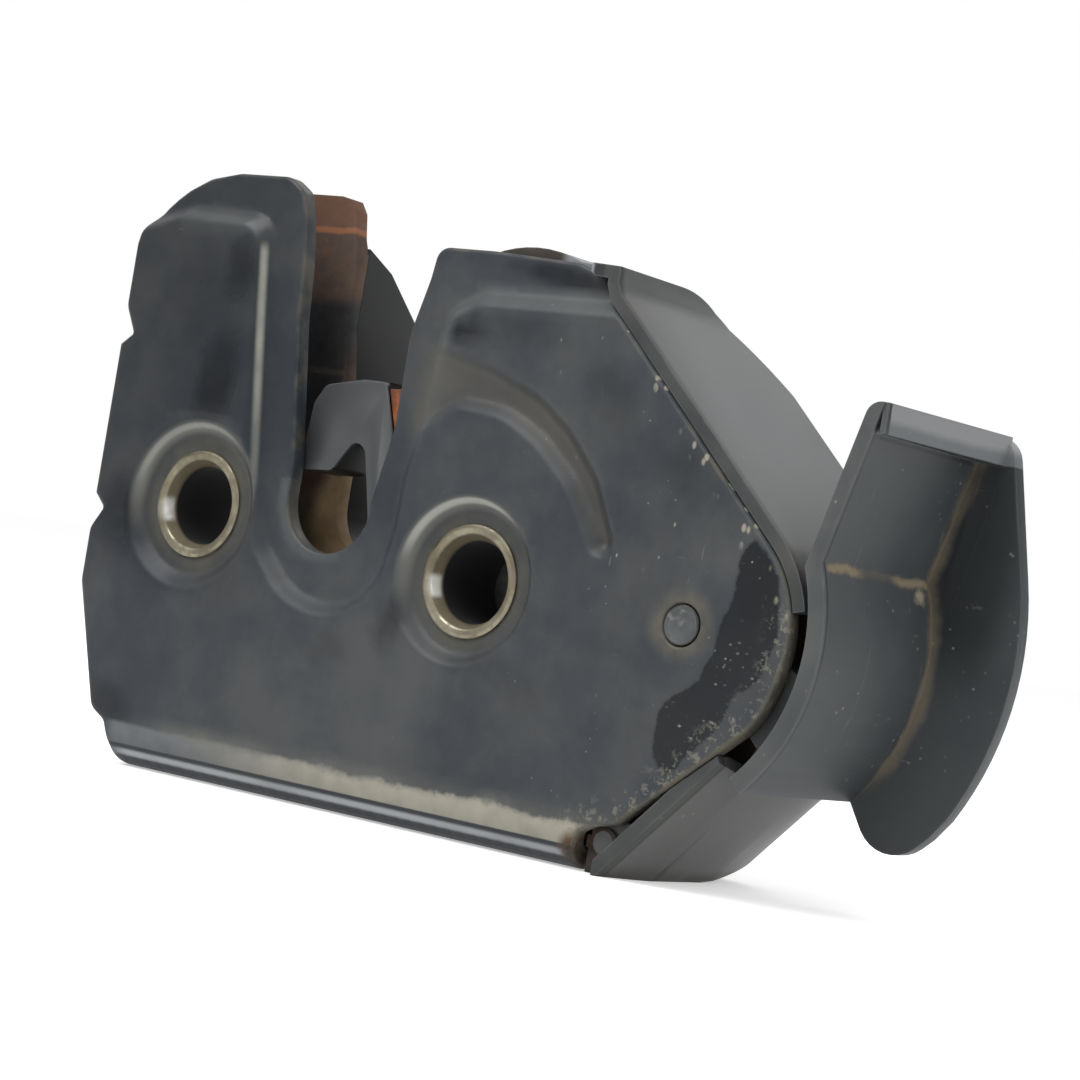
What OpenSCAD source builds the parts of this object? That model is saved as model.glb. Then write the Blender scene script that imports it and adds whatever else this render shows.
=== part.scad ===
// Tailgate latch: two plates on flanged bushes, a forked catch that holds a striker bar,
// a hook pawl, and a finger lever that turns with the pawl, behind a moulded housing.
// X runs to the right along the plates, Z up, and Y from the front face to the rear.
// The origin is the centre of the catch bush at its front rim.

/* [Plates] */
// Thickness of the front and back plates
plate_t = 2; // [1.8:0.1:2.2]
// How far the raised panels stand in front of the recessed floor
panel_rise = 1.6; // [1.2:0.1:1.8]
// Width of one of the two steps from a panel down to the floor
step_w = 0.7; // [0.5:0.1:0.9]
// Clear depth between the two plates
plate_gap = 6.4; // [6.2:0.1:7]
// Distance from the catch bush to the left edge
plate_left = 52.75; // [51:0.25:55]
// Height of the top edge left of the slot
plate_top = 40.4; // [39:0.2:42]
// Height of the top edge right of the slot
tab_top = 34.1; // [33.8:0.1:35]
// Depth below the origin where the bottom bend starts
bend_z = 22.3; // [22:0.1:23]
// Outer radius of the bottom bend
bend_r = 4; // [3:0.25:4.5]
// Length of the bottom flange behind the bend
flange_depth = 9; // [6:0.5:10]

/* [Bushes] */
// Bore of the two fixing bushes
bush_bore = 8.5; // [8.2:0.1:8.8]
// Wall of the bushes where they pass the plates
bush_wall = 1.25; // [1.1:0.05:1.3]
// Wall of the bushes between the plates
shoulder_wall = 2.05; // [1.8:0.05:2.2]
// Height of the front rim over the plate's floor
rim_h = 0.4; // [0.3:0.1:0.6]
// Overhang of the front rim
rim_w = 0.4; // [0.3:0.1:0.6]
// Place of the fixing bush left of the catch bush
fix_x = -38.4; // [-39:0.1:-37.5]
// Place of the fixing bush above the catch bush
fix_z = 3.5; // [3:0.1:4]

/* [Striker slot] */
// Place of the slot's round bottom left of the catch bush
slot_x = -20.3; // [-20.6:0.1:-20]
// Height of the centre of the slot's round bottom
slot_z = 6.1; // [5.9:0.1:6.3]
// Radius of the slot's round bottom
slot_r = 5.7; // [5.4:0.1:6]
// How much the slot opens to the left towards its top
slot_flare = 2.9; // [2:0.1:3.2]

/* [Catch] */
// Thickness of the catch's steel core
catch_t = 5; // [4.6:0.1:5.2]
// Thickness of the jacket over the core
jacket_t = 0.4; // [0.3:0.05:0.5]
// Radius of the catch's hub
hub_r = 9.5; // [9:0.1:9.8]
// Outer radius of the catch's tooth
tooth_r = 13.5; // [13.2:0.1:13.7]

/* [Lever and pawl] */
// Place of the lever's rivet right of the catch bush
lever_x = 27; // [26.8:0.1:27.2]
// Height of the lever's rivet over the catch bush
lever_z = -0.8; // [-1:0.1:-0.6]
// Diameter of the rivet in the plates
rivet_d = 4; // [3.6:0.1:4.4]
// Diameter of the rivet between the plates
pivot_d = 6.6; // [6.2:0.1:6.8]
// Radius of the plate's round end about the rivet
end_r = 12.05; // [11.9:0.05:12.2]
// Thickness of the lever's web
web_t = 2.5; // [2.2:0.1:2.7]
// Thickness of the pawl
pawl_t = 4; // [3.6:0.1:4.2]
// Radius of the hubs of the lever and the pawl
lever_hub_r = 7.6; // [7.3:0.1:7.9]
// Inner radius of the lever's curved wall
scoop_r = 19.3; // [19.1:0.1:19.6]
// Thickness of the lever's curved wall
scoop_wall = 1.8; // [1.5:0.1:2]
// Distance from the lever's front edge to its rear flange
lever_depth = 21.8; // [20:0.2:23]
// Thickness of the lever's rear flange
lever_flange_t = 1.8; // [1.5:0.1:2.2]
// Height of the lip that closes the lever's top
lip_h = 3; // [2.4:0.1:3.4]
// Radius of the rounded top corner of the lever's wall
top_r = 1.6; // [1.2:0.1:1.7]

/* [Housing] */
// Distance from the catch bush's front rim to the housing's rear face
housing_back = 25; // [24:0.2:27]
// Thickness of the housing's side walls
housing_wall = 1.3; // [1.1:0.05:1.4]
// Thickness of the housing's rear wall
rear_wall = 2; // [1.6:0.1:2.4]
// Height of the housing's top over the catch bush
housing_top = 33.4; // [33.2:0.1:34]
// Rise of the housing's hump over the plate's top edge
hump_rise = 1; // [0.7:0.1:1.3]
// Radius of the hump's top
hump_r = 15; // [13:0.5:18]
// Bulge of the housing's lower corner between its front rim and its rear face
corner_bulge = 2.2; // [1.6:0.2:2.6]
// Radius of the rounded top at the rear
back_round = 16; // [14:0.5:18]
// Diameter of the housing screws
screw_d = 3; // [2.8:0.1:3.2]

/* [Springs] */
// Wire of the catch spring
catch_wire = 1.6; // [1.4:0.1:1.8]
// Wire of the pawl spring
pawl_wire = 1.2; // [1:0.1:1.3]
// Turns in each spring
turns = 4; // [3:1:5]

/* [Hidden] */
$fn = 64;
// Running clearances: round fits, flat faces, and pieces that pass each other
fit = 0.05;
run = 0.1;
pass = 0.3;
// Height of the foot, and depths of the plates
base_z = -bend_z - bend_r;
floor_y = rim_h;
panel_y = floor_y - panel_rise;
panel_back = panel_y + plate_t;
floor_back = floor_y + plate_t;
back_y = floor_back + plate_gap;
back_end = back_y + plate_t;
back_top = 31;
// Bushes
bore_r = bush_bore / 2;
tube_r = bore_r + bush_wall;
shoulder_r = bore_r + shoulder_wall;
rivet_over = 0.6;
// Catch
origin = [0, 0];
catch_bore_r = shoulder_r + fit;
washer_t = (plate_gap - catch_t) / 2 - run;
catch_y = floor_back + washer_t + run;
washer_r = 9;
catch_hook = [-9.96, 5.75];
// Lever and pawl
pivot = [lever_x, lever_z];
pivot_r = pivot_d / 2;
rivet_r = rivet_d / 2;
web_y = panel_back + pass;
pawl_y = web_y + web_t + run;
dowel_r = 1.2;
dowel_at = [lever_x + 2.7, lever_z - 4.7];
pawl_hook = [lever_x - 3.34, lever_z + 3.98];
lever_front = panel_y + 0.2;
arc_r = end_r + 0.15 + housing_wall;
scoop_c = [lever_x + arc_r + pass - scoop_r, lever_z + 0.2];
scoop_out = scoop_r + scoop_wall;
scoop_top = 21.7;
scoop_end = -45.4;
lever_top = lever_z + 23.6;
// Housing
rim_y = panel_y + 0.4;
boss_gap = 0.2;
window_back = web_y + web_t + 0.6;
diag_up = 46.4;
screws = [[-4, 25], [19, 12], [6, -18.5]];
screw_boss_r = 3.2;
screw_head_r = 2.8;
screw_head_h = 2;
boss_bore_r = 5;
boss_r = 6.3;
spigot_r = 4.2;
// Springs
catch_coil_r = boss_r + 0.25 + catch_wire / 2;
pawl_coil_r = spigot_r + 0.35 + pawl_wire / 2;
// Corner clip and catch stop
clip_at = [21.25, -23.05];
clip_r = 0.8;
clip_head_r = 1.4;
clip_y = floor_y + 0.6;
stop_at = [6.2, 25.4];
stop_r = 2;
stop_pin_r = 1;

// Point at a radius and an angle about a centre
function polar(c, r, a) = [c[0] + r * cos(a), c[1] + r * sin(a)];
// Points along an arc
function arc(c, r, a0, a1, n) = [for (i = [0:n]) polar(c, r, a0 + (a1 - a0) * i / n)];
// Outward normal of an edge of an outline that runs anticlockwise
function normal(p, q) = [q[1] - p[1], p[0] - q[0]] / norm(q - p);
// Outline with each edge moved inwards by d
function inset(pts, d) = [for (i = [0:len(pts) - 1])
    let (b = pts[i],
         m = normal(pts[(i + len(pts) - 1) % len(pts)], b),
         n = normal(b, pts[(i + 1) % len(pts)]))
    b - (m + n) * d / (1 + m * n)];

// Drawing in X and Z made solid between two depths
module slab(y0, y1) {
    translate([0, y1, 0])
        rotate([90, 0, 0])
            linear_extrude(y1 - y0) children();
}

// Drawing in Y and Z made solid between two places along X
module bar_x(x0, x1) {
    translate([x0, 0, 0])
        rotate([90, 0, 90])
            linear_extrude(x1 - x0) children();
}

// Drawing of radius and depth turned about an axis along Y
module turned(at) {
    translate([at[0], 0, at[1]])
        rotate([-90, 0, 0])
            rotate_extrude() children();
}

// Round bar along Y
module rod(at, r, y0, y1) {
    translate([at[0], y0, at[1]])
        rotate([-90, 0, 0])
            cylinder(r = r, h = y1 - y0);
}

// Ring along Y
module ring(at, r_in, r_out, y0, y1) {
    difference() {
        rod(at, r_out, y0, y1);
        rod(at, r_in, y0 - 1, y1 + 1);
    }
}

// Outline of the striker slot, open at the top, grown by g
function slot_pts(g) = concat(
    arc([slot_x, slot_z], slot_r + g, 180, 360, 24),
    [[slot_x + slot_r + 1.4 + g, slot_z + 8.5], [slot_x + slot_r + 1.4 + g, slot_z + 18.6],
     [slot_x + slot_r + 3.2 + g, slot_z + 27], [slot_x + slot_r + 3.2 + g, plate_top + 8],
     [slot_x - slot_r - slot_flare - g, plate_top + 8], [slot_x - slot_r - slot_flare - g, slot_z + 19.9],
     [slot_x - slot_r - g, slot_z + 4.4]]);

// Outline of the front plate above its bend
plate_pts = concat(
    [[-45.8, -bend_z], [18.6, -bend_z], [20.4, -bend_z + 0.7], [23.2, -bend_z + 1.3]],
    [polar(pivot, end_r + 0.75, -48)],
    arc(pivot, end_r, -32, diag_up, 20),
    [[12, 30.1], [9.3, tab_top - 1.4], [7.1, tab_top - 0.5], [-3.9, tab_top], [-9.7, tab_top],
     [-11.4, tab_top - 0.9],
     [-28.9, plate_top - 9.4], [-29.9, plate_top - 4.2], [-30.8, plate_top - 1.8], [-31.8, plate_top - 0.6],
     [-33.5, plate_top], [-40.5, plate_top], [-44.5, plate_top - 0.8], [-47.6, plate_top - 2.3],
     [-49.2, plate_top - 3.5], [2.45 - plate_left, plate_top - 4.5],
     [0.65 - plate_left, plate_top - 6.4], [-plate_left, plate_top - 8.8], [-plate_left, -7.2],
     [4.35 - plate_left, -20.4], [5.15 - plate_left, -21.3], [-46, -21.8]]);

// Places of the recessed floor: round the slot, along the top edges, the arc groove and the bush dimples
band_pts = concat(
    arc([slot_x - 0.2, slot_z - 0.8], slot_r + 3.8, 180, 360, 24),
    [[slot_x + slot_r + 3.6, slot_z + 5], [-8.6, slot_z + 10.1], [-7.4, slot_z + 20.6], [-5.6, 29.2],
     [-4, 30.1], [-4, plate_top + 4], [-33.4, plate_top + 4], [-33.4, 33.2], [-32.2, 25], [-31.3, 19.5],
     [-30.4, 12]]);
margin_left = [[-48.6, 37], [-36.5, 35.2], [-30, 33], [-30, plate_top + 4], [-48.6, plate_top + 4]];
margin_right = [[-6, 30.1], [12.6, 30.1], [14.6, plate_top], [-6, plate_top]];
groove_pts = concat(
    arc(origin, tooth_r + 2.7, 80, 20, 10),
    [[16.7, 4.8], [17.6, 5.8]],
    arc(origin, tooth_r + 5.8, 24, 66, 9),
    [[-0.8, 22.3], [-9.5, 24.4], [-9.5, 18.6], [-3.9, 17.6]]);
dimple_r = tube_r + 1.7;

module recess(g) {
    polygon(inset(band_pts, -g));
    polygon(inset(margin_left, -g));
    polygon(inset(margin_right, -g));
    polygon(inset(groove_pts, -g));
    for (p = [origin, [fix_x, fix_z]])
        translate(p) circle(dimple_r + g);
}

// Half-round notch in the left edge
module edge_notch(z) {
    rod([-plate_left - 0.1, z], 1.7, panel_y - 1, floor_back + 1);
}

// Bottom bend and flange, as one strip
module bottom_flange() {
    bar_x(-45.8, 18.6)
        translate([panel_y + bend_r, -bend_z]) {
            intersection() {
                difference() {
                    circle(bend_r);
                    circle(bend_r - plate_t);
                }
                translate([-bend_r, -bend_r]) square(bend_r);
            }
            translate([0, -bend_r]) square([flange_depth, plate_t]);
        }
}

module front_plate() {
    color([0.27, 0.29, 0.33])
    difference() {
        union() {
            slab(panel_y, panel_back)
                difference() {
                    polygon(plate_pts);
                    recess(step_w);
                }
            slab(panel_y + panel_rise / 2, panel_back + panel_rise / 2)
                intersection() {
                    polygon(plate_pts);
                    difference() {
                        recess(2 * step_w);
                        recess(0);
                    }
                }
            slab(floor_y, floor_back)
                intersection() {
                    polygon(plate_pts);
                    recess(step_w);
                }
            bottom_flange();
        }
        slab(panel_y - 1, floor_back + 1) polygon(slot_pts(0));
        rod(origin, tube_r, panel_y - 1, floor_back + 1);
        rod([fix_x, fix_z], tube_r, panel_y - 1, floor_back + 1);
        rod(pivot, rivet_r, panel_y - 1, floor_back + 1);
        edge_notch(21.6);
        edge_notch(1.5);
    }
}

// Outline of the back plate
back_pts = concat(
    [[-28, -21], [19.3, -21], [19.3, -24.5], [21.6, -24.5], [22.8, -22.9], [23.9, -21.4], [24, -20.2]],
    arc(pivot, end_r - 0.3, -45.8, diag_up, 20),
    [[12, 28.6], [10, back_top], [-11.6, back_top], [-28.6, plate_top - 7.4], [-29.6, plate_top - 4.8],
     [-30.1, plate_top - 2], [-31, plate_top - 0.7], [-32.5, plate_top - 0.4], [-40, plate_top - 0.4], [-41.5, plate_top - 2], [-41.5, 16], [-46, 10], [-47.2, 3.5], [-46, -3]]);

// Slot along an arc, with round ends
module arc_slot(c, r, w, a0, a1, y0, y1) {
    slab(y0, y1)
        polygon(concat(arc(c, r - w / 2, a0, a1, 12), arc(polar(c, r, a1), w / 2, a1 + 150, a1 + 30, 4),
            arc(c, r + w / 2, a1, a0, 12), arc(polar(c, r, a0), w / 2, a0 - 30, a0 - 150, 4)));
}

module back_plate() {
    color([0.43, 0.29, 0.2])
    difference() {
        slab(back_y, back_end) polygon(back_pts);
        slab(back_y - 1, back_end + 1) polygon(slot_pts(0));
        rod(origin, tube_r, back_y - 1, back_end + 1);
        rod([fix_x, fix_z], tube_r, back_y - 1, back_end + 1);
        rod(pivot, rivet_r, back_y - 1, back_end + 1);
        rod(stop_at, stop_pin_r, back_y - 1, back_end + 1);
        rod(clip_at, clip_r, back_y - 1, back_end + 1);
        for (p = screws)
            rod(p, screw_d / 2, back_y - 1, back_end + 1);
        arc_slot(origin, norm(catch_hook), catch_wire + 0.8, 100, 152, back_y - 1, back_end + 1);
        arc_slot(pivot, norm(pawl_hook - pivot), pawl_wire + 0.6, 128, 160, back_y - 1, back_end + 1);
    }
}

// Flanged bush that clamps both plates, with its rear end turned over
module bush(at) {
    turned(at)
        polygon([[bore_r, 0], [tube_r + rim_w - 0.25, 0], [tube_r + rim_w, 0.25], [tube_r + rim_w, floor_y],
            [tube_r, floor_y], [tube_r, floor_back], [shoulder_r, floor_back], [shoulder_r, back_y],
            [tube_r, back_y], [tube_r, back_end], [tube_r + rim_w, back_end],
            [tube_r + rim_w - 0.2, back_end + rivet_over], [bore_r, back_end + rivet_over]]);
}

module catch_bush() {
    color([0.62, 0.6, 0.52]) bush(origin);
}

module fixing_bush() {
    color([0.62, 0.6, 0.52]) bush([fix_x, fix_z]);
}

module lever_rivet() {
    color([0.4, 0.41, 0.43])
    turned(pivot)
        polygon([[0, panel_y], [rivet_r, panel_y], [rivet_r, panel_back], [pivot_r, panel_back],
            [pivot_r, back_y], [rivet_r, back_y], [rivet_r, back_end], [rivet_r + 1.4, back_end],
            [rivet_r + 1.1, back_end + 0.9], [0, back_end + 0.9]]);
}

// Steel core of the catch: prong over the striker, mouth, lower prong and tooth
core_pts = [[-3, -8], [-1.5, 8.2], [-8, 14.5], [-12, 19.2], [-20, 18.6], [-24.6, 17.7], [-25.6, 15.8],
    [-26.1, 10], [-23.1, 10.3], [-20.5, 13.9], [-17.8, 13.2], [-15.7, 5], [-15.9, -0.6], [-23.4, -1.6],
    [-24.3, -2.8], [-22.4, -5.7], [-13, -6.7]];
tooth_face = -60;
tooth_back = -42;
tooth_pts = concat(arc(origin, hub_r - 1, tooth_back + 12, tooth_face, 6),
    arc(origin, tooth_r, tooth_face, tooth_back, 6));

module core_shape() {
    circle(hub_r);
    polygon(core_pts);
    polygon(tooth_pts);
}

module catch_core() {
    color([0.66, 0.33, 0.18])
    difference() {
        slab(catch_y, catch_y + catch_t) core_shape();
        rod(origin, catch_bore_r, catch_y - 1, catch_y + catch_t + 1);
        rod(catch_hook, catch_wire / 2 + 0.15, catch_y + 2, catch_y + catch_t + 1);
    }
}

// Moulded jacket over the catch's prongs and mouth
jacket_pts = [[-16.9, 19.5], [-20.1, 19.5], [-25.2, 18.5], [-26.5, 16.4], [-27.1, 9], [-22.6, 9.3], [-20.1, 12.8],
    [-18.5, 12.2], [-16.6, 4.9], [-16.8, 0.3], [-24, -0.6], [-25.3, -2.6], [-23, -6.6], [-14, -7.6],
    [-12.4, -3], [-12.8, 6], [-15, 14.1]];

module catch_jacket() {
    color([0.45, 0.46, 0.47])
    difference() {
        slab(catch_y - jacket_t, catch_y + catch_t + jacket_t) polygon(jacket_pts);
        slab(catch_y, catch_y + catch_t) core_shape();
    }
}

module catch_washer_front() {
    color([0.75, 0.74, 0.7]) ring(origin, shoulder_r + fit, washer_r, floor_back, floor_back + washer_t);
}

module catch_washer_rear() {
    color([0.75, 0.74, 0.7]) ring(origin, shoulder_r + fit, washer_r, back_y - washer_t, back_y);
}

// Turns of wire side by side, as the body of a torsion spring
module coil(c, r, wire, y0) {
    turned(c)
        translate([r, y0 + wire / 2]) {
            for (i = [0:turns - 1])
                translate([0, i * wire * 0.92]) circle(wire / 2);
            translate([-wire * 0.25, 0]) square([wire / 2, (turns - 1) * wire * 0.92]);
        }
}

// Free leg of a spring, as its start and its end, and the peg beside its end
catch_leg = [polar(origin, catch_coil_r, -30), polar(origin, catch_coil_r - 0.2, -30) + [-6.6, -10]];
pawl_leg = [polar(pivot, pawl_coil_r, -60), polar(pivot, pawl_coil_r, -60) + [-7.8, -4.5]];
catch_peg_r = 1.4;
pawl_peg_r = 1.2;
function peg(leg, r, wire) = leg[1] + (leg[0] - leg[1]) * 0.12 + normal(leg[1], leg[0]) * (r + wire / 2 + 0.1);

// Straight piece of wire in a plane across Y
module wire_leg(p, q, y, wire) {
    d = q - p;
    translate([p[0], y, p[1]])
        rotate([0, 90 - atan2(d[1], d[0]), 0])
            cylinder(r = wire / 2 - 0.04, h = norm(d));
}

module catch_spring() {
    $fn = 32;
    y0 = back_end + rivet_over + 0.2;
    y1 = y0 + catch_wire * (0.5 + (turns - 1) * 0.92);
    a = atan2(catch_hook[1], catch_hook[0]);
    color([0.5, 0.5, 0.52])
    union() {
        coil(origin, catch_coil_r, catch_wire, y0);
        wire_leg(polar(origin, catch_coil_r, a), catch_hook, y0 + catch_wire / 2, catch_wire);
        rod(catch_hook, catch_wire / 2, catch_y + 2.2, y0 + catch_wire);
        wire_leg(catch_leg[0], catch_leg[1], y1, catch_wire);
    }
}

module pawl_spring() {
    $fn = 32;
    y0 = back_end + 1.2;
    y1 = y0 + pawl_wire * (0.5 + (turns - 1) * 0.92);
    color([0.5, 0.5, 0.52])
    union() {
        coil(pivot, pawl_coil_r, pawl_wire, y0);
        rod(pawl_hook, pawl_wire / 2, pawl_y + 1.8, y0 + pawl_wire / 2);
        wire_leg(pawl_leg[0], pawl_leg[1], y1, pawl_wire);
    }
}

module stop_pin() {
    color([0.5, 0.5, 0.52]) rod(stop_at, stop_pin_r, web_y, back_end);
}

module stop_sleeve() {
    color([0.12, 0.12, 0.12]) ring(stop_at, stop_pin_r + fit, stop_r, web_y + 0.1, back_y - run);
}

// Hook pawl: its nose passes under the catch's tooth and rises on the far side
nose_face = tooth_face - 7.2;
pawl_pts = [polar(origin, tooth_r - 1.2, nose_face), polar(origin, tooth_r - 1.2, nose_face - 8),
    polar(origin, tooth_r + 1.6, nose_face - 11), polar(origin, tooth_r + 3, nose_face + 6), [12, -14.6],
    [20, -9.4], pivot + [-3.5, -6.4], pivot + [-5.8, 4.2], [14, -8], polar(origin, tooth_r + 1.2, nose_face + 18),
    polar(origin, tooth_r + 0.9, nose_face)];

module pawl() {
    color([0.55, 0.55, 0.56])
    difference() {
        slab(pawl_y, pawl_y + pawl_t) {
            polygon(pawl_pts);
            translate(pivot) circle(lever_hub_r);
        }
        rod(pivot, pivot_r + fit, pawl_y - 1, pawl_y + pawl_t + 1);
        rod(dowel_at, dowel_r, pawl_y - 1, pawl_y + pawl_t - 0.5);
        rod(pawl_hook, pawl_wire / 2 + 0.15, pawl_y + 1.6, pawl_y + pawl_t + 1);
    }
}

module pawl_dowel() {
    color([0.7, 0.7, 0.72]) rod(dowel_at, dowel_r, web_y + 0.5, pawl_y + pawl_t - 0.5);
}

module lever_washer() {
    color([0.75, 0.74, 0.7]) ring(pivot, pivot_r + fit, 5.5, panel_back, web_y - fit);
}

module pawl_washer() {
    color([0.75, 0.74, 0.7]) ring(pivot, pivot_r + fit, 4.4, pawl_y + pawl_t + run, back_y);
}

// Wall of the lever: an arc, then a straight stretch that leans out
straight_in = polar(scoop_c, scoop_r, scoop_top);
straight_out = polar(scoop_c, scoop_out, scoop_top);
lean = [0.254, 1];
top_in = straight_in + lean * (lever_top - straight_in[1]);
top_c = [top_in[0] + (norm(lean) - lean[0]) * top_r, lever_top - top_r];
wall_pts = concat(
    arc(scoop_c, scoop_out, scoop_end, scoop_top, 24),
    [straight_out + lean * (lever_top - straight_out[1])],
    arc(top_c, top_r, 90, 180 - atan(lean[0]), 7),
    arc(scoop_c, scoop_r, scoop_top, scoop_end, 24));
// Rear flange behind the finger scoop: round lower corner, long curved edge, round top corner
wall_end = polar(scoop_c, scoop_out, scoop_end);
low_c = wall_end + [5.1, -0.2];
low_r = 4.2;
edge_c = pivot + [-8.25, 2.2];
edge_r = 33.1;
high_r = 2.7;
high_c = [lever_x + 18.65, lever_top - high_r];
flange_pts = concat(
    [polar(scoop_c, scoop_r + 0.6, scoop_end), wall_end],
    arc(low_c, low_r, -145, -48, 8),
    [low_c + [4.05, -1.95]],
    arc(edge_c, edge_r, -31, 13.2, 14),
    arc(high_c, high_r, 12, 90, 6),
    [top_c + [0.2, top_r - 0.05]],
    arc(scoop_c, scoop_r + 0.4, scoop_top, scoop_end + 2, 12));

// Lip that closes the scoop's top, wider towards the rear
module top_lip() {
    x0 = top_c[0] + 0.1;
    x1 = straight_out[0] + lean[0] * (lever_top - straight_out[1]) + 0.4;
    translate([0, 0, lever_top - lip_h])
        linear_extrude(lip_h)
            polygon([[x0, lever_front + 0.2], [x1, lever_front + 0.2], [x1 + 2, lever_front + lever_depth + 0.5],
                [x0, lever_front + lever_depth + 0.5]]);
}

module release_lever() {
    color([0.42, 0.43, 0.45])
    difference() {
        union() {
            slab(lever_front, lever_front + lever_depth + lever_flange_t) polygon(wall_pts);
            slab(lever_front + lever_depth, lever_front + lever_depth + lever_flange_t) polygon(flange_pts);
            top_lip();
            slab(web_y, web_y + web_t) {
                translate(pivot) circle(lever_hub_r);
                polygon(concat([pivot + [-2, 0]], arc(scoop_c, scoop_r + 0.5, -36.3, -12.1, 8), [pivot + [2, 4]]));
            }
        }
        rod(pivot, pivot_r + fit, web_y - 1, web_y + web_t + 1);
        rod(dowel_at, dowel_r, web_y + 0.5, web_y + web_t + 1);
    }
}

// Front edge of the housing's lower corner, which bulges out behind it
foot_a = [21.6, base_z];
foot_b = [26.5, -20.9];
foot_u = (foot_b - foot_a) / norm(foot_b - foot_a);
foot_n = normal(foot_a, foot_b);
half_depth = (housing_back - rim_y) / 2;
barrel_r = (pow(half_depth, 2) + pow(corner_bulge, 2)) / (2 * corner_bulge);
barrel_at = foot_a - foot_n * (barrel_r - corner_bulge);

// Outline of the housing
house_pts = concat(
    [[-15, -23.9], [19.2, -23.9], [19.2, base_z], [23.9, base_z], [24.9, base_z + 0.5]],
    [for (i = [0:4]) foot_a + foot_n * corner_bulge + foot_u * (4 + 2.65 * i)],
    [pivot + [7.6, -13.2]],
    arc(pivot, arc_r, -48, diag_up, 24),
    [[13.6, 30.5], [13, 31.8], [13, housing_top], [9, housing_top + 0.2]],
    arc([0, tab_top + hump_rise - hump_r], hump_r, 68, 112, 8),
    [[-11.4, tab_top - 0.9], [-12, 8], [-13.5, 2], [-15, -3]]);

// Side view of the housing: the rear of its top and bottom is rounded
module house_side(t) {
    difference() {
        union() {
            translate([-10, -50]) square([back_end + 10, 100]);
            translate([-10, -50]) square([housing_back - t + 10, 50 + housing_top - back_round]);
            translate([back_end, housing_top - back_round]) circle(back_round - t);
        }
        translate([housing_back - t, -60]) square([20, 120]);
        translate([back_end + 4.5, base_z + t])
            rotate(12) translate([0, -20]) square([30, 20]);
    }
}

// Round side of the lower corner
module barrel(t) {
    translate([barrel_at[0], rim_y + half_depth, barrel_at[1]])
        rotate([0, 90 - atan2(foot_u[1], foot_u[0]), 0])
            cylinder(r = barrel_r - t, h = 300, center = true);
}

// Where the walls reach forward past the back plate: over the top, round the right end and at the lower corner
module forward_walls() {
    polygon([[-11.8, back_top + pass], [11, back_top + pass], [11, 20], [60, 20], [60, 40], [-11.8, 40]]);
    translate([18.8, -30]) square([40, 60]);
}

module house_solid() {
    intersection() {
        union() {
            slab(back_end, housing_back) polygon(house_pts);
            slab(rim_y, back_end + 0.1)
                intersection() {
                    polygon(house_pts);
                    forward_walls();
                }
        }
        bar_x(-40, 60) house_side(0);
        barrel(0);
    }
}

module house_cavity() {
    intersection() {
        slab(panel_y - 5, housing_back)
            difference() {
                polygon(inset(house_pts, housing_wall));
                polygon(slot_pts(housing_wall));
            }
        bar_x(-40, 60) house_side(rear_wall);
        barrel(housing_wall);
    }
}

// Walls of the channel behind the slot; the left one slopes down to the rear
module channel() {
    difference() {
        intersection() {
            slab(back_end, housing_back) polygon(slot_pts(housing_wall));
            union() {
                bar_x(-40, slot_x)
                    polygon([[back_end, -10], [housing_back, -10], [housing_back, 24.4], [back_end + 4.4, 32.6],
                        [back_end, 34.6]]);
                bar_x(slot_x - 0.1, 0) house_side(0);
            }
        }
        slab(back_end - 1, housing_back + 1) polygon(slot_pts(0));
    }
}

module rear_housing() {
    color([0.5, 0.51, 0.52])
    difference() {
        union() {
            difference() {
                house_solid();
                house_cavity();
                slab(panel_y - 2, floor_back + 0.15) polygon(inset(plate_pts, -0.15));
            }
            channel();
            intersection() {
                union() {
                    rod(origin, boss_r, back_end + rivet_over + boss_gap, housing_back - 0.5);
                    rod(pivot, spigot_r, back_end + 0.9 + boss_gap, housing_back - 0.5);
                    for (p = screws)
                        rod(p, screw_boss_r, back_end, housing_back - 0.5);
                    rod(peg(catch_leg, catch_peg_r, catch_wire), catch_peg_r, back_end + 3, housing_back - 0.5);
                    rod(peg(pawl_leg, pawl_peg_r, pawl_wire), pawl_peg_r, back_end + 3, housing_back - 0.5);
                }
                bar_x(-40, 60) house_side(0);
            }
            slab(clip_y, clip_y + 2)
                polygon([[19.4, base_z + 0.2], foot_a + [-0.4, 0.2], [25, -22.4], [24.4, -20.9], [22.8, -20.6], [19.4, -21.4]]);
        }
        slab(back_end - 1, housing_back + 1) polygon(slot_pts(0));
        rod(origin, boss_bore_r, back_end, housing_back + 1);
        for (p = screws) {
            rod(p, screw_d / 2 + 0.1, back_end - 1, housing_back + 1);
            rod(p, screw_head_r + 0.3, housing_back - screw_head_h - 2, housing_back + 1);
        }
        rod(clip_at, clip_r + 0.05, clip_y - 1, clip_y + 3);
        rod(clip_at, clip_r + 0.5, clip_y + 2, back_end + 1.6);
        slab(back_y - 0.3, back_end) polygon([[19, -24.8], [21, -24.8], [21, -20], [19, -20]]);
        slab(rim_y - 1, clip_y)
            polygon([[18.8, base_z - 1], [foot_a[0] - 0.5, base_z - 1], [foot_a[0] - 0.5, -20], [18.8, -20]]);
        slab(rim_y - 1, window_back)
            polygon([pivot, polar(pivot, 20, -62), polar(pivot, 24, -25), polar(pivot, 20, 13.5)]);
        slab(panel_y - 1, floor_back + 0.15) {
            polygon([[-60, -60], [18.9, -60], [18.9, -20], [-60, -20]]);
            polygon([[-60, tab_top - 4], [9.5, tab_top - 4], [9.5, tab_top + 9], [-60, tab_top + 9]]);
        }
    }
}

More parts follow.
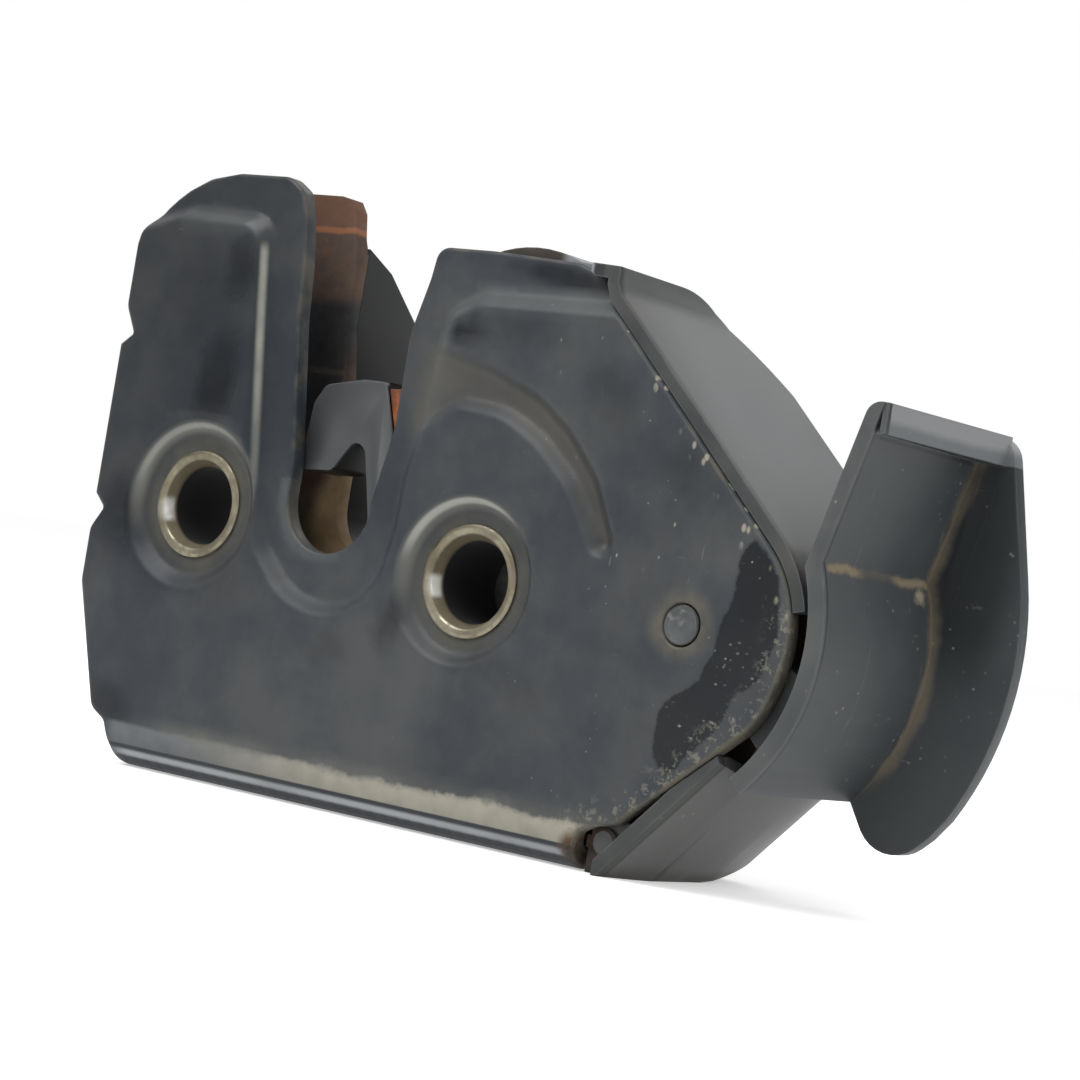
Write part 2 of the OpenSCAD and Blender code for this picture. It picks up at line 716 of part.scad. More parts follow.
module housing_screws() {
    color([0.35, 0.35, 0.36])
    for (p = screws)
        turned(p)
            polygon([[0, back_y + 0.2], [screw_d / 2, back_y + 0.2],
                [screw_d / 2, housing_back - screw_head_h - 2], [screw_head_r, housing_back - screw_head_h - 2],
                [screw_head_r, housing_back - 2.6], [screw_head_r - 0.6, housing_back - 2],
                [1.2, housing_back - 2], [1.2, housing_back - 3.2], [0, housing_back - 3.2]]);
}

module housing_clip() {
    color([0.52, 0.53, 0.54])
    turned(clip_at)
        polygon([[0, clip_y - 0.7], [clip_head_r - 0.3, clip_y - 0.7], [clip_head_r, clip_y - 0.4],
            [clip_head_r, clip_y], [clip_r, clip_y], [clip_r, back_end], [clip_r + 0.3, back_end],
            [clip_r - 0.2, back_end + 1.2], [0, back_end + 1.2]]);
}

front_plate();
back_plate();
catch_bush();
fixing_bush();
lever_rivet();
catch_core();
catch_jacket();
catch_washer_front();
catch_washer_rear();
catch_spring();
stop_pin();
stop_sleeve();
pawl();
pawl_dowel();
lever_washer();
pawl_washer();
pawl_spring();
release_lever();
rear_housing();
housing_screws();
housing_clip();
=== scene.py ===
import math
from functools import partialmethod

import bmesh
import bpy
import numpy as np
from mathutils import Matrix, Vector
from mathutils.geometry import delaunay_2d_cdt


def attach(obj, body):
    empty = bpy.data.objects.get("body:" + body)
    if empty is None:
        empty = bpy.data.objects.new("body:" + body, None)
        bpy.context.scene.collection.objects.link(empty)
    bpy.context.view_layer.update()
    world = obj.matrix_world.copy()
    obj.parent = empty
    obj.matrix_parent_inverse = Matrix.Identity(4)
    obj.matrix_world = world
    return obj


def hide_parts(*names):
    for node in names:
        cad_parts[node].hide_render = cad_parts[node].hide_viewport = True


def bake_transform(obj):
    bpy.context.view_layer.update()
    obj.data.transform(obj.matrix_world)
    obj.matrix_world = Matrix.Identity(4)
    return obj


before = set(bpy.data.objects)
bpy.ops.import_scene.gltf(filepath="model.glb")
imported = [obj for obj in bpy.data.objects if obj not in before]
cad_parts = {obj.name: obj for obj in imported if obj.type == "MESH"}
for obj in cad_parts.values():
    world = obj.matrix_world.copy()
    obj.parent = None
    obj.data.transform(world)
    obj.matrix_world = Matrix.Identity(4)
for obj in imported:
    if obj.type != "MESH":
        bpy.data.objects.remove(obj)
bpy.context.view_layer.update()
MM = 0.001

# sizes and places in mm, as in part.scad: x along the plates, y to the rear, z up
PIVOT = np.array([27.0, -0.8])  # axis of the lever
FIX = np.array([-38.4, 3.5])  # axis of the fixing bush; the catch bush is at the origin
END_R = 12.05  # round end of the plate about the lever's axis
SLOT_AT, SLOT_R = (-20.3, 6.1), 5.7  # round foot of the striker slot
FLOOR_Z = -26.3
PANEL_Y = -1.2  # front of the raised panels
RISE = 1.6  # how far the pressed floor lies behind the panels
PLATE_T = 2.0
BEND_Z, BEND_R = -22.3, 4.0  # start and outer radius of the bottom bend
TUBE_R = 5.5  # outside of the bushes, in the plates
RIVET_R = 2.08
WALL_AT, WALL_R = (21.5, -0.6), 21.1  # inside of the lever's curved wall
FLANGE_Y = 20.8  # front of the lever's rear flange
RUSTY_CORNER = (19.0, -24.6)  # lower right corner of the plate
# pressed dimples round the bushes: centre, radius, softness of the step, brightness of the painted highlight arc on its
# upper edge
DIMPLES = ((np.zeros(2), 8.1, 0.9, 0.85), (FIX, 8.5, 1.3, 0.4))


def srgb(r, g, b):
    def lin(v):
        v /= 255
        return v / 12.92 if v <= 0.04045 else ((v + 0.055) / 1.055) ** 2.4

    return (lin(r), lin(g), lin(b), 1.0)


def polar(c, r, a):
    return (c[0] + r * math.cos(math.radians(a)), c[1] + r * math.sin(math.radians(a)))


# ---------------------------------------------------------------- outlines

def corner(a, p, b, r, steps):
    """Points of an arc of radius r in the corner p between a and b; steps gives their number from its length."""
    u = (a - p) / np.linalg.norm(a - p)
    v = (b - p) / np.linalg.norm(b - p)
    half = math.acos(max(-1, min(1, float(u @ v)))) / 2
    if r <= 0 or half > math.radians(88.5):
        return [p]
    cut = r / math.tan(half)
    room = min(np.linalg.norm(a - p), np.linalg.norm(b - p)) * 0.49
    if cut > room:
        r *= room / cut
        cut = room
    centre = p + (u + v) / np.linalg.norm(u + v) * (r / math.sin(half))
    s = p + u * cut - centre
    e = p + v * cut - centre
    a0 = math.atan2(s[1], s[0])
    d = (math.atan2(e[1], e[0]) - a0 + math.pi) % (2 * math.pi) - math.pi
    k = steps(abs(d) * r)
    turns = [a0 + d * j / k for j in range(k + 1)]
    return [centre + r * np.array([math.cos(t), math.sin(t)]) for t in turns]


def rounded(points, steps):
    """Closed outline of (x, z) or (x, z, corner radius) with its corners rounded."""
    at = [np.array(p[:2]) for p in points]
    out = []
    for i, p in enumerate(points):
        out += corner(at[i - 1], at[i], at[(i + 1) % len(at)], p[2] if len(p) > 2 else 0, steps)
    return out


def fillet(points, step=0.45):
    """Rounded outline, resampled so that no edge is longer than step."""
    out = rounded(points, lambda length: max(3, int(length / 0.35) + 2))
    dense = []
    for i in range(len(out)):
        p, q = out[i], out[(i + 1) % len(out)]
        m = max(1, int(math.ceil(np.linalg.norm(q - p) / step)))
        for j in range(m):
            dense.append(p + (q - p) * j / m)
    keep = [dense[0]]
    for p in dense[1:]:
        if np.linalg.norm(p - keep[-1]) > 0.05:
            keep.append(p)
    return np.array(keep)


def distance(pts, loop, closed=True):
    a = np.asarray(loop, float)
    b = np.roll(a, -1, axis=0)
    if not closed:
        a, b = a[:-1], b[:-1]
    out = np.full(len(pts), 1e9)
    for i in range(0, len(pts), 4000):
        p = pts[i:i + 4000, None]
        d = (b - a)[None]
        t = np.clip(((p - a[None]) * d).sum(-1) / np.maximum((d * d).sum(-1), 1e-12), 0, 1)
        near = a[None] + d * t[..., None]
        out[i:i + 4000] = np.sqrt(((p - near) ** 2).sum(-1)).min(1)
    return out


def inside(pts, loop):
    x, y = pts[:, 0], pts[:, 1]
    r = np.zeros(len(pts), bool)
    a = np.asarray(loop, float)
    b = np.roll(a, 1, axis=0)
    for (xi, yi), (xj, yj) in zip(a, b):
        if yi != yj:
            r ^= ((yi > y) != (yj > y)) & (x < (xj - xi) * (y - yi) / (yj - yi) + xi)
    return r


def signed(pts, loop):
    d = distance(pts, loop)
    return np.where(inside(pts, loop), -d, d)


def smooth(t):
    t = np.clip(t, 0, 1)
    return t * t * (3 - 2 * t)


def blend_min(a, b, k):
    h = np.clip(0.5 + 0.5 * (b - a) / k, 0, 1)
    return b * (1 - h) + a * h - k * h * (1 - h)


ARC_END = [polar(PIVOT, END_R + 0.7 * float(smooth(np.array((-14 - a) / 34.0))), a) for a in range(-48, 47, 4)]
OUTLINE = [
    (-42.7, -36.0, 1.5), (17.4, -36.0, 1.5), (18.2, -27.2, 0.5), (18.5, -24.4, 0.8), (18.9, -22.4, 0.9),
    (20.4, -21.6, 1.0), (23.2, -21.0, 0.8), (27.6, -17.2, 6), *ARC_END,
    (12.1, 30.1, 0.9), (10.4, 32.5, 0.9), (7.1, 33.6, 3), (-3.9, 34.1, 5), (-11.2, 34.1, 1.6), (-11.7, 30.6, 5),
    (-13.2, 24.7, 6), (-13.2, 14.6, 8), (-14.7, 6.6, 3), *[polar(SLOT_AT, SLOT_R, -a) for a in range(10, 180, 12)],
    (-26.0, 9.5, 5), (-28.6, 25.0, 8), (-29.1, 31.0, 5), (-30.0, 36.2, 5), (-31.0, 39.0, 1.5), (-33.2, 40.4, 3),
    (-40.5, 40.4, 4), (-44.6, 39.6, 4), (-47.6, 38.1, 3), (-49.2, 36.95, 2), (-50.4, 35.9, 2), (-52.2, 33.9, 2),
    (-52.75, 31.4, 3), (-52.75, 24.3, 2.5), (-51.1, 21.3, 0.3), (-52.75, 20.0, 0.2), (-52.75, 3.0, 0.2),
    (-51.2, 1.5, 0.4), (-52.75, -0.9, 1.8), (-52.75, -6.9, 2.5), (-48.1, -20.6, 2.0), (-45.9, -21.8, 1.2),
    (-44.9, -24.0, 1.2)]
# pressed steps: the band round the slot, the margins along the top edges, and the arc groove
BAND = fillet([
    (-34.5, 46, 0), (-34.4, 33.9, 0), (-33.0, 24.5, 20), (-31.75, 15.1, 20), (-30.6, 6.5, 12), (-27.9, 0.0, 8),
    (-23.5, -4.3, 8), (-18.9, -5.6, 9), (-14.2, -4.7, 7), (-11.2, -1.3, 6), (-10.1, 4.5, 8), (-10.0, 9.5, 12),
    (-8.9, 15.0, 6), (-8.2, 19.5, 3), (-8.0, 24.6, 5), (-7.2, 27.4, 2.5), (-4.6, 29.0, 3), (-4.6, 46, 0)])
MARGIN_LEFT = fillet([(-33.5, 34.6, 0), (-37, 35.4, 4), (-46, 35.7, 6), (-54, 33.2, 0), (-54, 46, 0), (-33.5, 46, 0)])
MARGIN_RIGHT = fillet([(-6, 29.0, 0), (16, 29.2, 0), (16, 46, 0), (-6, 46, 0)])
GROOVE = fillet([
    (-11, 24.0, 0), (-7.9, 23.3, 2), (-0.7, 21.8, 9), (5.6, 19.6, 9), (10.2, 16.4, 9), (14.3, 12.0, 9),
    (17.0, 6.6, 2), (16.9, 4.9, 0.7), (15.4, 5.1, 0.7), (13.3, 8.3, 9), (11.0, 11.4, 9), (6.7, 15.0, 9),
    (1.7, 17.5, 9), (-4.4, 18.0, 3), (-8.8, 15.0, 2), (-11, 14.0, 0)])
# where the dust is wiped off, between the rivet and the right end
WIPED = fillet([
    (32.9, 7.6, 0.5), (34.0, 8.4, 0.5), (35.6, 7.3, 1), (36.9, 5.4, 1), (37.6, 3.2, 1), (37.9, 0.4, 2), (37.6, -2.6, 1),
    (36.6, -5.0, 1), (35.2, -6.3, 0.6), (33.9, -6.5, 0.5), (33.6, -9.0, 1), (31.8, -11.7, 1), (29.5, -13.9, 1),
    (28.2, -15.5, 0.5), (27.0, -14.9, 0.6), (26.1, -13.0, 1), (26.0, -9.6, 1), (27.3, -7.6, 1), (29.4, -6.1, 0.8),
    (31.1, -2.9, 0.8), (31.2, -0.3, 0.8), (32.1, 1.6, 0.8), (32.2, 5.4, 1)])
# soft dark patches, partly of thinner film and partly painted dark reflection: centre, half sizes, turn in degrees and
# strength
PATCHES = [
    (-36.6, 29.2, 2.3, 3.6, 0, 0.8), (-37.4, 17.2, 3.0, 6.2, -8, 1.0), (-48.8, 1.0, 2.6, 5.0, 0, 0.7),
    (-46.0, -19.5, 4.5, 2.2, -15, 0.8), (-4.6, 25.4, 2.9, 1.5, 8, 1.1), (5.6, 32.0, 6.2, 1.2, -7, 0.9),
    (-15.2, 12.0, 1.0, 5.0, 8, 0.5), (3.0, 26.2, 5.5, 1.6, -4, 0.35), (-42.0, 26.0, 4.0, 5.0, 0, 0.25),
    (15.0, 20.5, 2.5, 5.5, 40, 0.3), (-8.2, -5.5, 1.5, 3.6, -10, 0.6), (-16.5, -9.5, 3.6, 1.8, 10, 0.35),
    (3.5, 32.2, 5.5, 0.9, -6, 0.6), (24.0, 14.5, 2.2, 4.5, 40, 0.3), (7.0, -9.0, 6.0, 2.2, -20, 0.25)]


def patches(pts):
    out = np.zeros(len(pts))
    for cx, cz, rx, rz, turn, k in PATCHES:
        c, s = math.cos(math.radians(turn)), math.sin(math.radians(turn))
        d = pts - np.array([cx, cz])
        u, v = d[:, 0] * c + d[:, 1] * s, d[:, 1] * c - d[:, 0] * s
        out = np.maximum(out, k * smooth((1.35 - np.hypot(u / rx, v / rz)) / 0.9))
    return out


def stripes(pts):
    """Paler shoulders of the pressed steps: painted highlight where their slopes face the light."""
    right = distance(pts, [(-9.4, 12.0), (-8.7, 16.5), (-8.2, 22.0), (-7.3, 27.0), (-4.2, 29.2), (4, 29.5),
                           (12.5, 29.6)], False)
    right = smooth(1.2 - right / 1.5) * smooth((pts[:, 1] - 11) / 5)
    top = distance(pts, [(-36.0, 34.6), (-40, 35.0), (-46, 35.0)], False)
    top = smooth(1.2 - top / 1.2)
    slot = distance(pts, [polar(SLOT_AT, 6.3, a) for a in range(170, 300, 10)], False)
    slot = smooth(1.2 - slot / 0.8)
    return np.maximum(right * 0.6, np.maximum(top * 0.4, slot * 0.45))


def relief(pts):
    """How far the pressed face lies behind the panels, and the arc groove's share of it."""
    w = 1.15  # half the width of a pressed step
    sd = blend_min(signed(pts, BAND), signed(pts, MARGIN_RIGHT), 2.0)
    sd = blend_min(sd, signed(pts, MARGIN_LEFT), 2.5)
    depth = RISE * smooth((w - sd) / (2 * w))
    groove = smooth((0.9 - signed(pts, GROOVE)) / 2.1)
    depth = np.maximum(depth, 1.3 * groove)
    for c, r, soft, _ in DIMPLES:
        d = np.linalg.norm(pts - c, axis=1) - r
        depth = np.maximum(depth, RISE * smooth((soft - d) / (2 * soft)))
    # small dent at the groove's lower end
    dent = np.linalg.norm(pts - np.array([16.5, 5.6]), axis=1)
    depth = depth + 0.25 * np.exp(-(dent / 0.9) ** 2)
    flat = smooth((pts[:, 1] - BEND_Z) / 2.0)
    return depth * flat, groove * flat


def fold(x, s, t):
    """Place of a point of the flat sheet, t behind the panels' front, after the bottom bend."""
    x, s, t = (np.asarray(v, float) for v in (x, s, t))
    along = BEND_Z - s
    arc = (BEND_R - PLATE_T / 2) * math.pi / 2
    a = np.clip(along / (BEND_R - PLATE_T / 2), 0, math.pi / 2)
    r = BEND_R - t
    y = np.where(along <= 0, PANEL_Y + t, PANEL_Y + BEND_R - r * np.cos(a) + np.maximum(along - arc, 0))
    z = np.where(along <= 0, s, BEND_Z - r * np.sin(a))
    return np.stack([x, y, z], -1)


def link_object(name, data):
    o = bpy.data.objects.new(name, data)
    bpy.context.scene.collection.objects.link(o)
    return o


def shade_smooth(me):
    me.polygons.foreach_set("use_smooth", [True] * len(me.polygons))


def mesh_object(name, verts, faces, body, material):
    me = bpy.data.meshes.new(name)
    me.from_pydata([tuple(v) for v in verts], [], [tuple(f) for f in faces])
    me.validate()
    shade_smooth(me)
    me.update()
    o = link_object(name, me)
    me.materials.append(material)
    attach(o, body)
    return o


def pressed_plate(material):
    """The front plate as a flat sheet with its pressed relief and rounded edges, folded at the bottom."""
    edge_r, back_r = 0.42, 0.25  # radii of the front's and the back's edges
    grid_step = 0.42
    outline = fillet(OUTLINE, 0.5)
    holes = [(np.zeros(2), TUBE_R), (FIX, TUBE_R), (PIVOT, RIVET_R)]
    rings = [outline]
    for c, r in holes:
        k = max(24, int(2 * math.pi * r / 0.45))
        rings.append(np.array([polar(c, r, -360 * i / k) for i in range(k)]))

    def edge_distance(p):
        d = distance(p, outline)
        for c, r in holes:
            d = np.minimum(d, np.abs(np.linalg.norm(p - c, axis=1) - r))
        return d

    # loops just inside every edge carry the rounding
    loops = []
    for ring in rings:
        t = np.roll(ring, -1, 0) - np.roll(ring, 1, 0)
        t /= np.linalg.norm(t, axis=1)[:, None]
        inward = np.stack([-t[:, 1], t[:, 0]], -1)
        for off in (0.07, 0.2, 0.42, 0.75):
            q = ring + inward * off
            good = edge_distance(q) > off * 0.93
            loops.append(q[good])
    lo, hi = outline.min(0), outline.max(0)
    gx, gz = np.meshgrid(np.arange(lo[0], hi[0], grid_step), np.arange(lo[1], hi[1], grid_step * 0.87))
    odd = (np.arange(gz.shape[0]) % 2)[:, None] * grid_step / 2
    grid = np.stack([(gx + odd).ravel(), gz.ravel()], -1)
    row = np.repeat(np.arange(gz.shape[0]), gz.shape[1])
    col = np.tile(np.arange(gz.shape[1]), gz.shape[0])
    ok = inside(grid, outline)
    for c, r in holes:
        ok &= np.linalg.norm(grid - c, axis=1) > r
    grid, row, col = grid[ok], row[ok], col[ok]
    ed = edge_distance(grid)
    d0, _ = relief(grid)
    d1, _ = relief(grid + np.array([0.3, 0.0]))
    d2, _ = relief(grid + np.array([0.0, 0.3]))
    steep = np.hypot(d1 - d0, d2 - d0) > 0.004
    bend = (grid[:, 1] < BEND_Z + 0.6) & (grid[:, 1] > BEND_Z - 6)
    sparse = (row % 4 == 0) & (col % 4 == 0)
    half = (row % 2 == 0) & (col % 2 == 0)
    pick = (ed > 0.95) & (steep | sparse | (bend & (col % 4 == 0)) | ((ed < 2.2) & half))
    free = np.concatenate(loops + [grid[pick]])
    pts = np.concatenate(rings + [free])
    edges = []
    start = 0
    for ring in rings:
        k = len(ring)
        edges += [(start + i, start + (i + 1) % k) for i in range(k)]
        start += k
    n_ring = start  # the first points are the rings'; free points follow
    v, _, f, source, _, _ = delaunay_2d_cdt([Vector(p) for p in pts], edges, [], 0, 1e-5)
    flat = np.array([[p.x, p.y] for p in v])
    tri = np.array([list(t) for t in f if len(t) == 3])
    mid = flat[tri].mean(1)
    ok = inside(mid, outline)
    for c, r in holes:
        ok &= np.linalg.norm(mid - c, axis=1) > r * math.cos(math.pi / 40)
    tri = tri[ok]
    used = np.unique(tri)
    remap = -np.ones(len(flat), int)
    remap[used] = np.arange(len(used))
    tri, flat = remap[tri], flat[used]
    ring_of = {}
    for i, came_from in enumerate(source):
        for j in came_from:
            if j < n_ring and remap[i] >= 0:
                ring_of[j] = remap[i]
    depth, groove = relief(flat)
    ed = edge_distance(flat)

    def rolled(r):
        """How far an edge of radius r falls back from the face."""
        return r - np.sqrt(np.maximum(r * r - np.maximum(r - ed, 0) ** 2, 0))

    front = fold(flat[:, 0], flat[:, 1], depth + rolled(edge_r)) * MM
    back = fold(flat[:, 0], flat[:, 1], depth + PLATE_T - rolled(back_r)) * MM
    n = len(flat)
    # seen from the front, x right and z up, an anticlockwise triangle faces the viewer
    area = np.cross(flat[tri[:, 1]] - flat[tri[:, 0]], flat[tri[:, 2]] - flat[tri[:, 0]])
    tri[area < 0] = tri[area < 0][:, ::-1]
    faces = [tuple(t) for t in tri] + [tuple(t[::-1] + n) for t in tri]
    start = 0
    for ring in rings:
        k = len(ring)
        idx = [ring_of[start + i] for i in range(k) if start + i in ring_of]
        for i in range(len(idx)):
            a, b = idx[i], idx[(i + 1) % len(idx)]
            faces.append((b, a, a + n, b + n))
        start += k
    o = mesh_object("plate_pressed", np.concatenate([front, back]), faces, "frame", material)

    def attr(name, values):
        at = o.data.attributes.new(name, "FLOAT", "POINT")
        at.data.foreach_set("value", np.concatenate([values, values]).astype(np.float32))

    attr("edge", np.minimum(ed, 12))
    attr("groove", groove)
    # how near the lower right rim a point lies, where the paint is chipped
    rim = np.array([polar(PIVOT, END_R, a) for a in range(5, -49, -3)] + [(27.6, -17.2), (23.2, -21.0), (19.5, -22.0)])
    attr("chip", np.clip(1 - distance(flat, rim, False) / 5.0, 0, 1))
    attr("wiped", -signed(flat, WIPED))
    attr("patch", patches(flat))
    attr("soft", stripes(flat))
    attr("sheet", flat[:, 1])
    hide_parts("front_plate")


# ---------------------------------------------------------------- rounded copies of CAD solids

def rounded_copy(node, name, body, material, convex, concave, angle, segments, upright=0.0):
    """The CAD solid with its edges broken: outer edges by convex, inner corners by concave, in mm.

    The corners of its outline, whose edges run along Y, can be rounded more, by upright.
    """
    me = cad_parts[node].data.copy()
    me.materials.clear()
    bm = bmesh.new()
    bm.from_mesh(me)
    bmesh.ops.remove_doubles(bm, verts=bm.verts, dist=2e-6)
    bmesh.ops.dissolve_limit(bm, angle_limit=math.radians(1.0), verts=bm.verts, edges=bm.edges)
    bmesh.ops.recalc_face_normals(bm, faces=bm.faces)
    weight = bm.edges.layers.float.get("bevel_weight_edge") or bm.edges.layers.float.new("bevel_weight_edge")
    big = max(convex, concave, upright)
    for e in bm.edges:
        if len(e.link_faces) == 2 and e.calc_face_angle(0) > math.radians(angle):
            w = convex if e.is_convex else concave
            d = e.verts[1].co - e.verts[0].co
            if upright and abs(d.y) > 0.99 * d.length:
                w = upright
            e[weight] = w / big
    bm.to_mesh(me)
    bm.free()
    o = link_object(name, me)
    me.materials.append(material)
    shade_smooth(me)
    b = o.modifiers.new("edges", "BEVEL")
    b.width = big * MM
    b.segments = segments
    b.limit_method = "WEIGHT"
    b.harden_normals = True
    b.use_clamp_overlap = True
    b.miter_outer = "MITER_ARC"
    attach(o, body)
    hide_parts(node)


def lathe(name, points, centre, body, material, segments):
    """Closed profile of (radius, depth, corner radius) turned about an axis along Y, with its creases kept."""
    profile = rounded(points, lambda length: 5)
    k = len(profile)
    verts, faces = [], []
    for i in range(segments):
        a = 2 * math.pi * i / segments
        for r, y in profile:
            verts.append(((centre[0] + r * math.cos(a)) * MM, y * MM, (centre[1] + r * math.sin(a)) * MM))
        j = (i + 1) % segments
        for p in range(k):
            q = (p + 1) % k
            faces.append((i * k + p, j * k + p, j * k + q, i * k + q))
    o = mesh_object(name, verts, faces, body, material)
    bm = bmesh.new()
    bm.from_mesh(o.data)
    bmesh.ops.remove_doubles(bm, verts=bm.verts, dist=1e-7)
    bmesh.ops.recalc_face_normals(bm, faces=bm.faces)
    for e in bm.edges:
        e.smooth = len(e.link_faces) != 2 or e.calc_face_angle(0) < math.radians(50)
    bm.to_mesh(o.data)
    bm.free()
    shade_smooth(o.data)
    return o


# ---------------------------------------------------------------- materials

class Mat:
    """Short names for building a node material on one Principled shader. Lengths are in mm."""

    def __init__(self, name, rough=0.5, metallic=0.0, specular=0.5):
        self.m = bpy.data.materials.new(name)
        self.m.use_nodes = True
        self.t = self.m.node_tree
        self.s = self.t.nodes["Principled BSDF"]
        self.s.inputs["Roughness"].default_value = rough
        self.s.inputs["Metallic"].default_value = metallic
        self.s.inputs["Specular IOR Level"].default_value = specular
        self.co = self.node("TexCoord").outputs["Object"]

    def set(self, socket, value):
        if isinstance(value, bpy.types.NodeSocket):
            self.t.links.new(value, socket)
        else:
            socket.default_value = value

    def node(self, kind, inputs=None, **settings):
        """A new node, its inputs set to values or linked to sockets."""
        n = self.t.nodes.new("ShaderNode" + kind)
        for key, value in settings.items():
            setattr(n, key, value)
        for key, value in (inputs or {}).items():
            self.set(n.inputs[key], value)
        return n

    def mapping(self, scale, rot):
        return self.node("Mapping", {"Vector": self.co, "Scale": scale, "Rotation": rot}).outputs[0]

    def noise(self, scale, detail=4, rough=0.55, vec=None, distortion=0.0):
        return self.node("TexNoise", {"Vector": vec or self.co, "Scale": scale, "Detail": detail,
                                      "Roughness": rough, "Distortion": distortion}).outputs["Fac"]

    def dots(self, scale, a, b, vec=None):
        """1 near the middles of random cells, within b, and 0 beyond a."""
        n = self.node("TexVoronoi", {"Vector": vec or self.co, "Scale": scale})
        return self.ramp(n.outputs["Distance"], a, b)

    def ramp(self, fac, a, b, lo=0.0, hi=1.0):
        return self.node("MapRange", {"Value": fac, "From Min": a, "From Max": b, "To Min": lo, "To Max": hi},
                         interpolation_type="SMOOTHSTEP").outputs["Result"]

    def calc(self, op, a, b=0.0):
        return self.node("Math", {0: a, 1: b}, operation=op).outputs[0]

    add = partialmethod(calc, "ADD")
    sub = partialmethod(calc, "SUBTRACT")
    mul = partialmethod(calc, "MULTIPLY")
    div = partialmethod(calc, "DIVIDE")
    max = partialmethod(calc, "MAXIMUM")
    min = partialmethod(calc, "MINIMUM")
    abs = partialmethod(calc, "ABSOLUTE")
    sqrt = partialmethod(calc, "SQRT")

    def hypot(self, a, b):
        return self.sqrt(self.add(self.mul(a, a), self.mul(b, b)))

    def jitter(self, size, scale, detail=4, rough=0.55):
        """Noise about 0."""
        return self.mul(self.sub(self.noise(scale, detail, rough), 0.5), size)

    def band(self, value, centre, a, b):
        """1 within b of the centre, and 0 beyond a."""
        return self.ramp(self.abs(self.sub(value, centre)), a, b)

    def mix(self, fac, a, b):
        return self.node("Mix", {"Factor": fac, "A": a, "B": b}, data_type="RGBA").outputs["Result"]

    def attribute(self, name):
        return self.node("Attribute", attribute_name=name).outputs["Fac"]

    def radial(self, cx, cz):
        """Distance from an axis along Y."""
        n = self.node("SeparateXYZ", {0: self.co})
        return self.mul(self.hypot(self.sub(n.outputs["X"], cx * MM), self.sub(n.outputs["Z"], cz * MM)), 1 / MM)

    def axis(self, name):
        return self.mul(self.node("SeparateXYZ", {0: self.co}).outputs[name], 1 / MM)

    def creases(self, dist):
        """1 in corners and gaps, 0 in the open."""
        n = self.node("AmbientOcclusion", {"Distance": dist * MM}, samples=8)
        return self.sub(1.0, n.outputs["AO"])

    def worn(self, radius):
        """1 on sharp outer edges."""
        b = self.node("Bevel", {"Radius": radius * MM}, samples=6)
        d = self.node("VectorMath", {0: b.outputs[0], 1: self.node("NewGeometry").outputs["Normal"]},
                      operation="DOT_PRODUCT")
        return self.ramp(d.outputs["Value"], 0.995, 0.9)

    def bump(self, height, strength=0.3, dist=0.1, prev=None):
        n = self.node("Bump", {"Strength": strength, "Distance": dist * MM, "Height": height})
        if prev is not None:
            self.set(n.inputs["Normal"], prev)
        return n.outputs[0]

    def finish(self, color, rough, normal, metallic=None):
        self.set(self.s.inputs["Base Color"], color)
        self.set(self.s.inputs["Roughness"], rough)
        if metallic is not None:
            self.set(self.s.inputs["Metallic"], metallic)
        self.set(self.s.inputs["Normal"], normal)
        return self.m


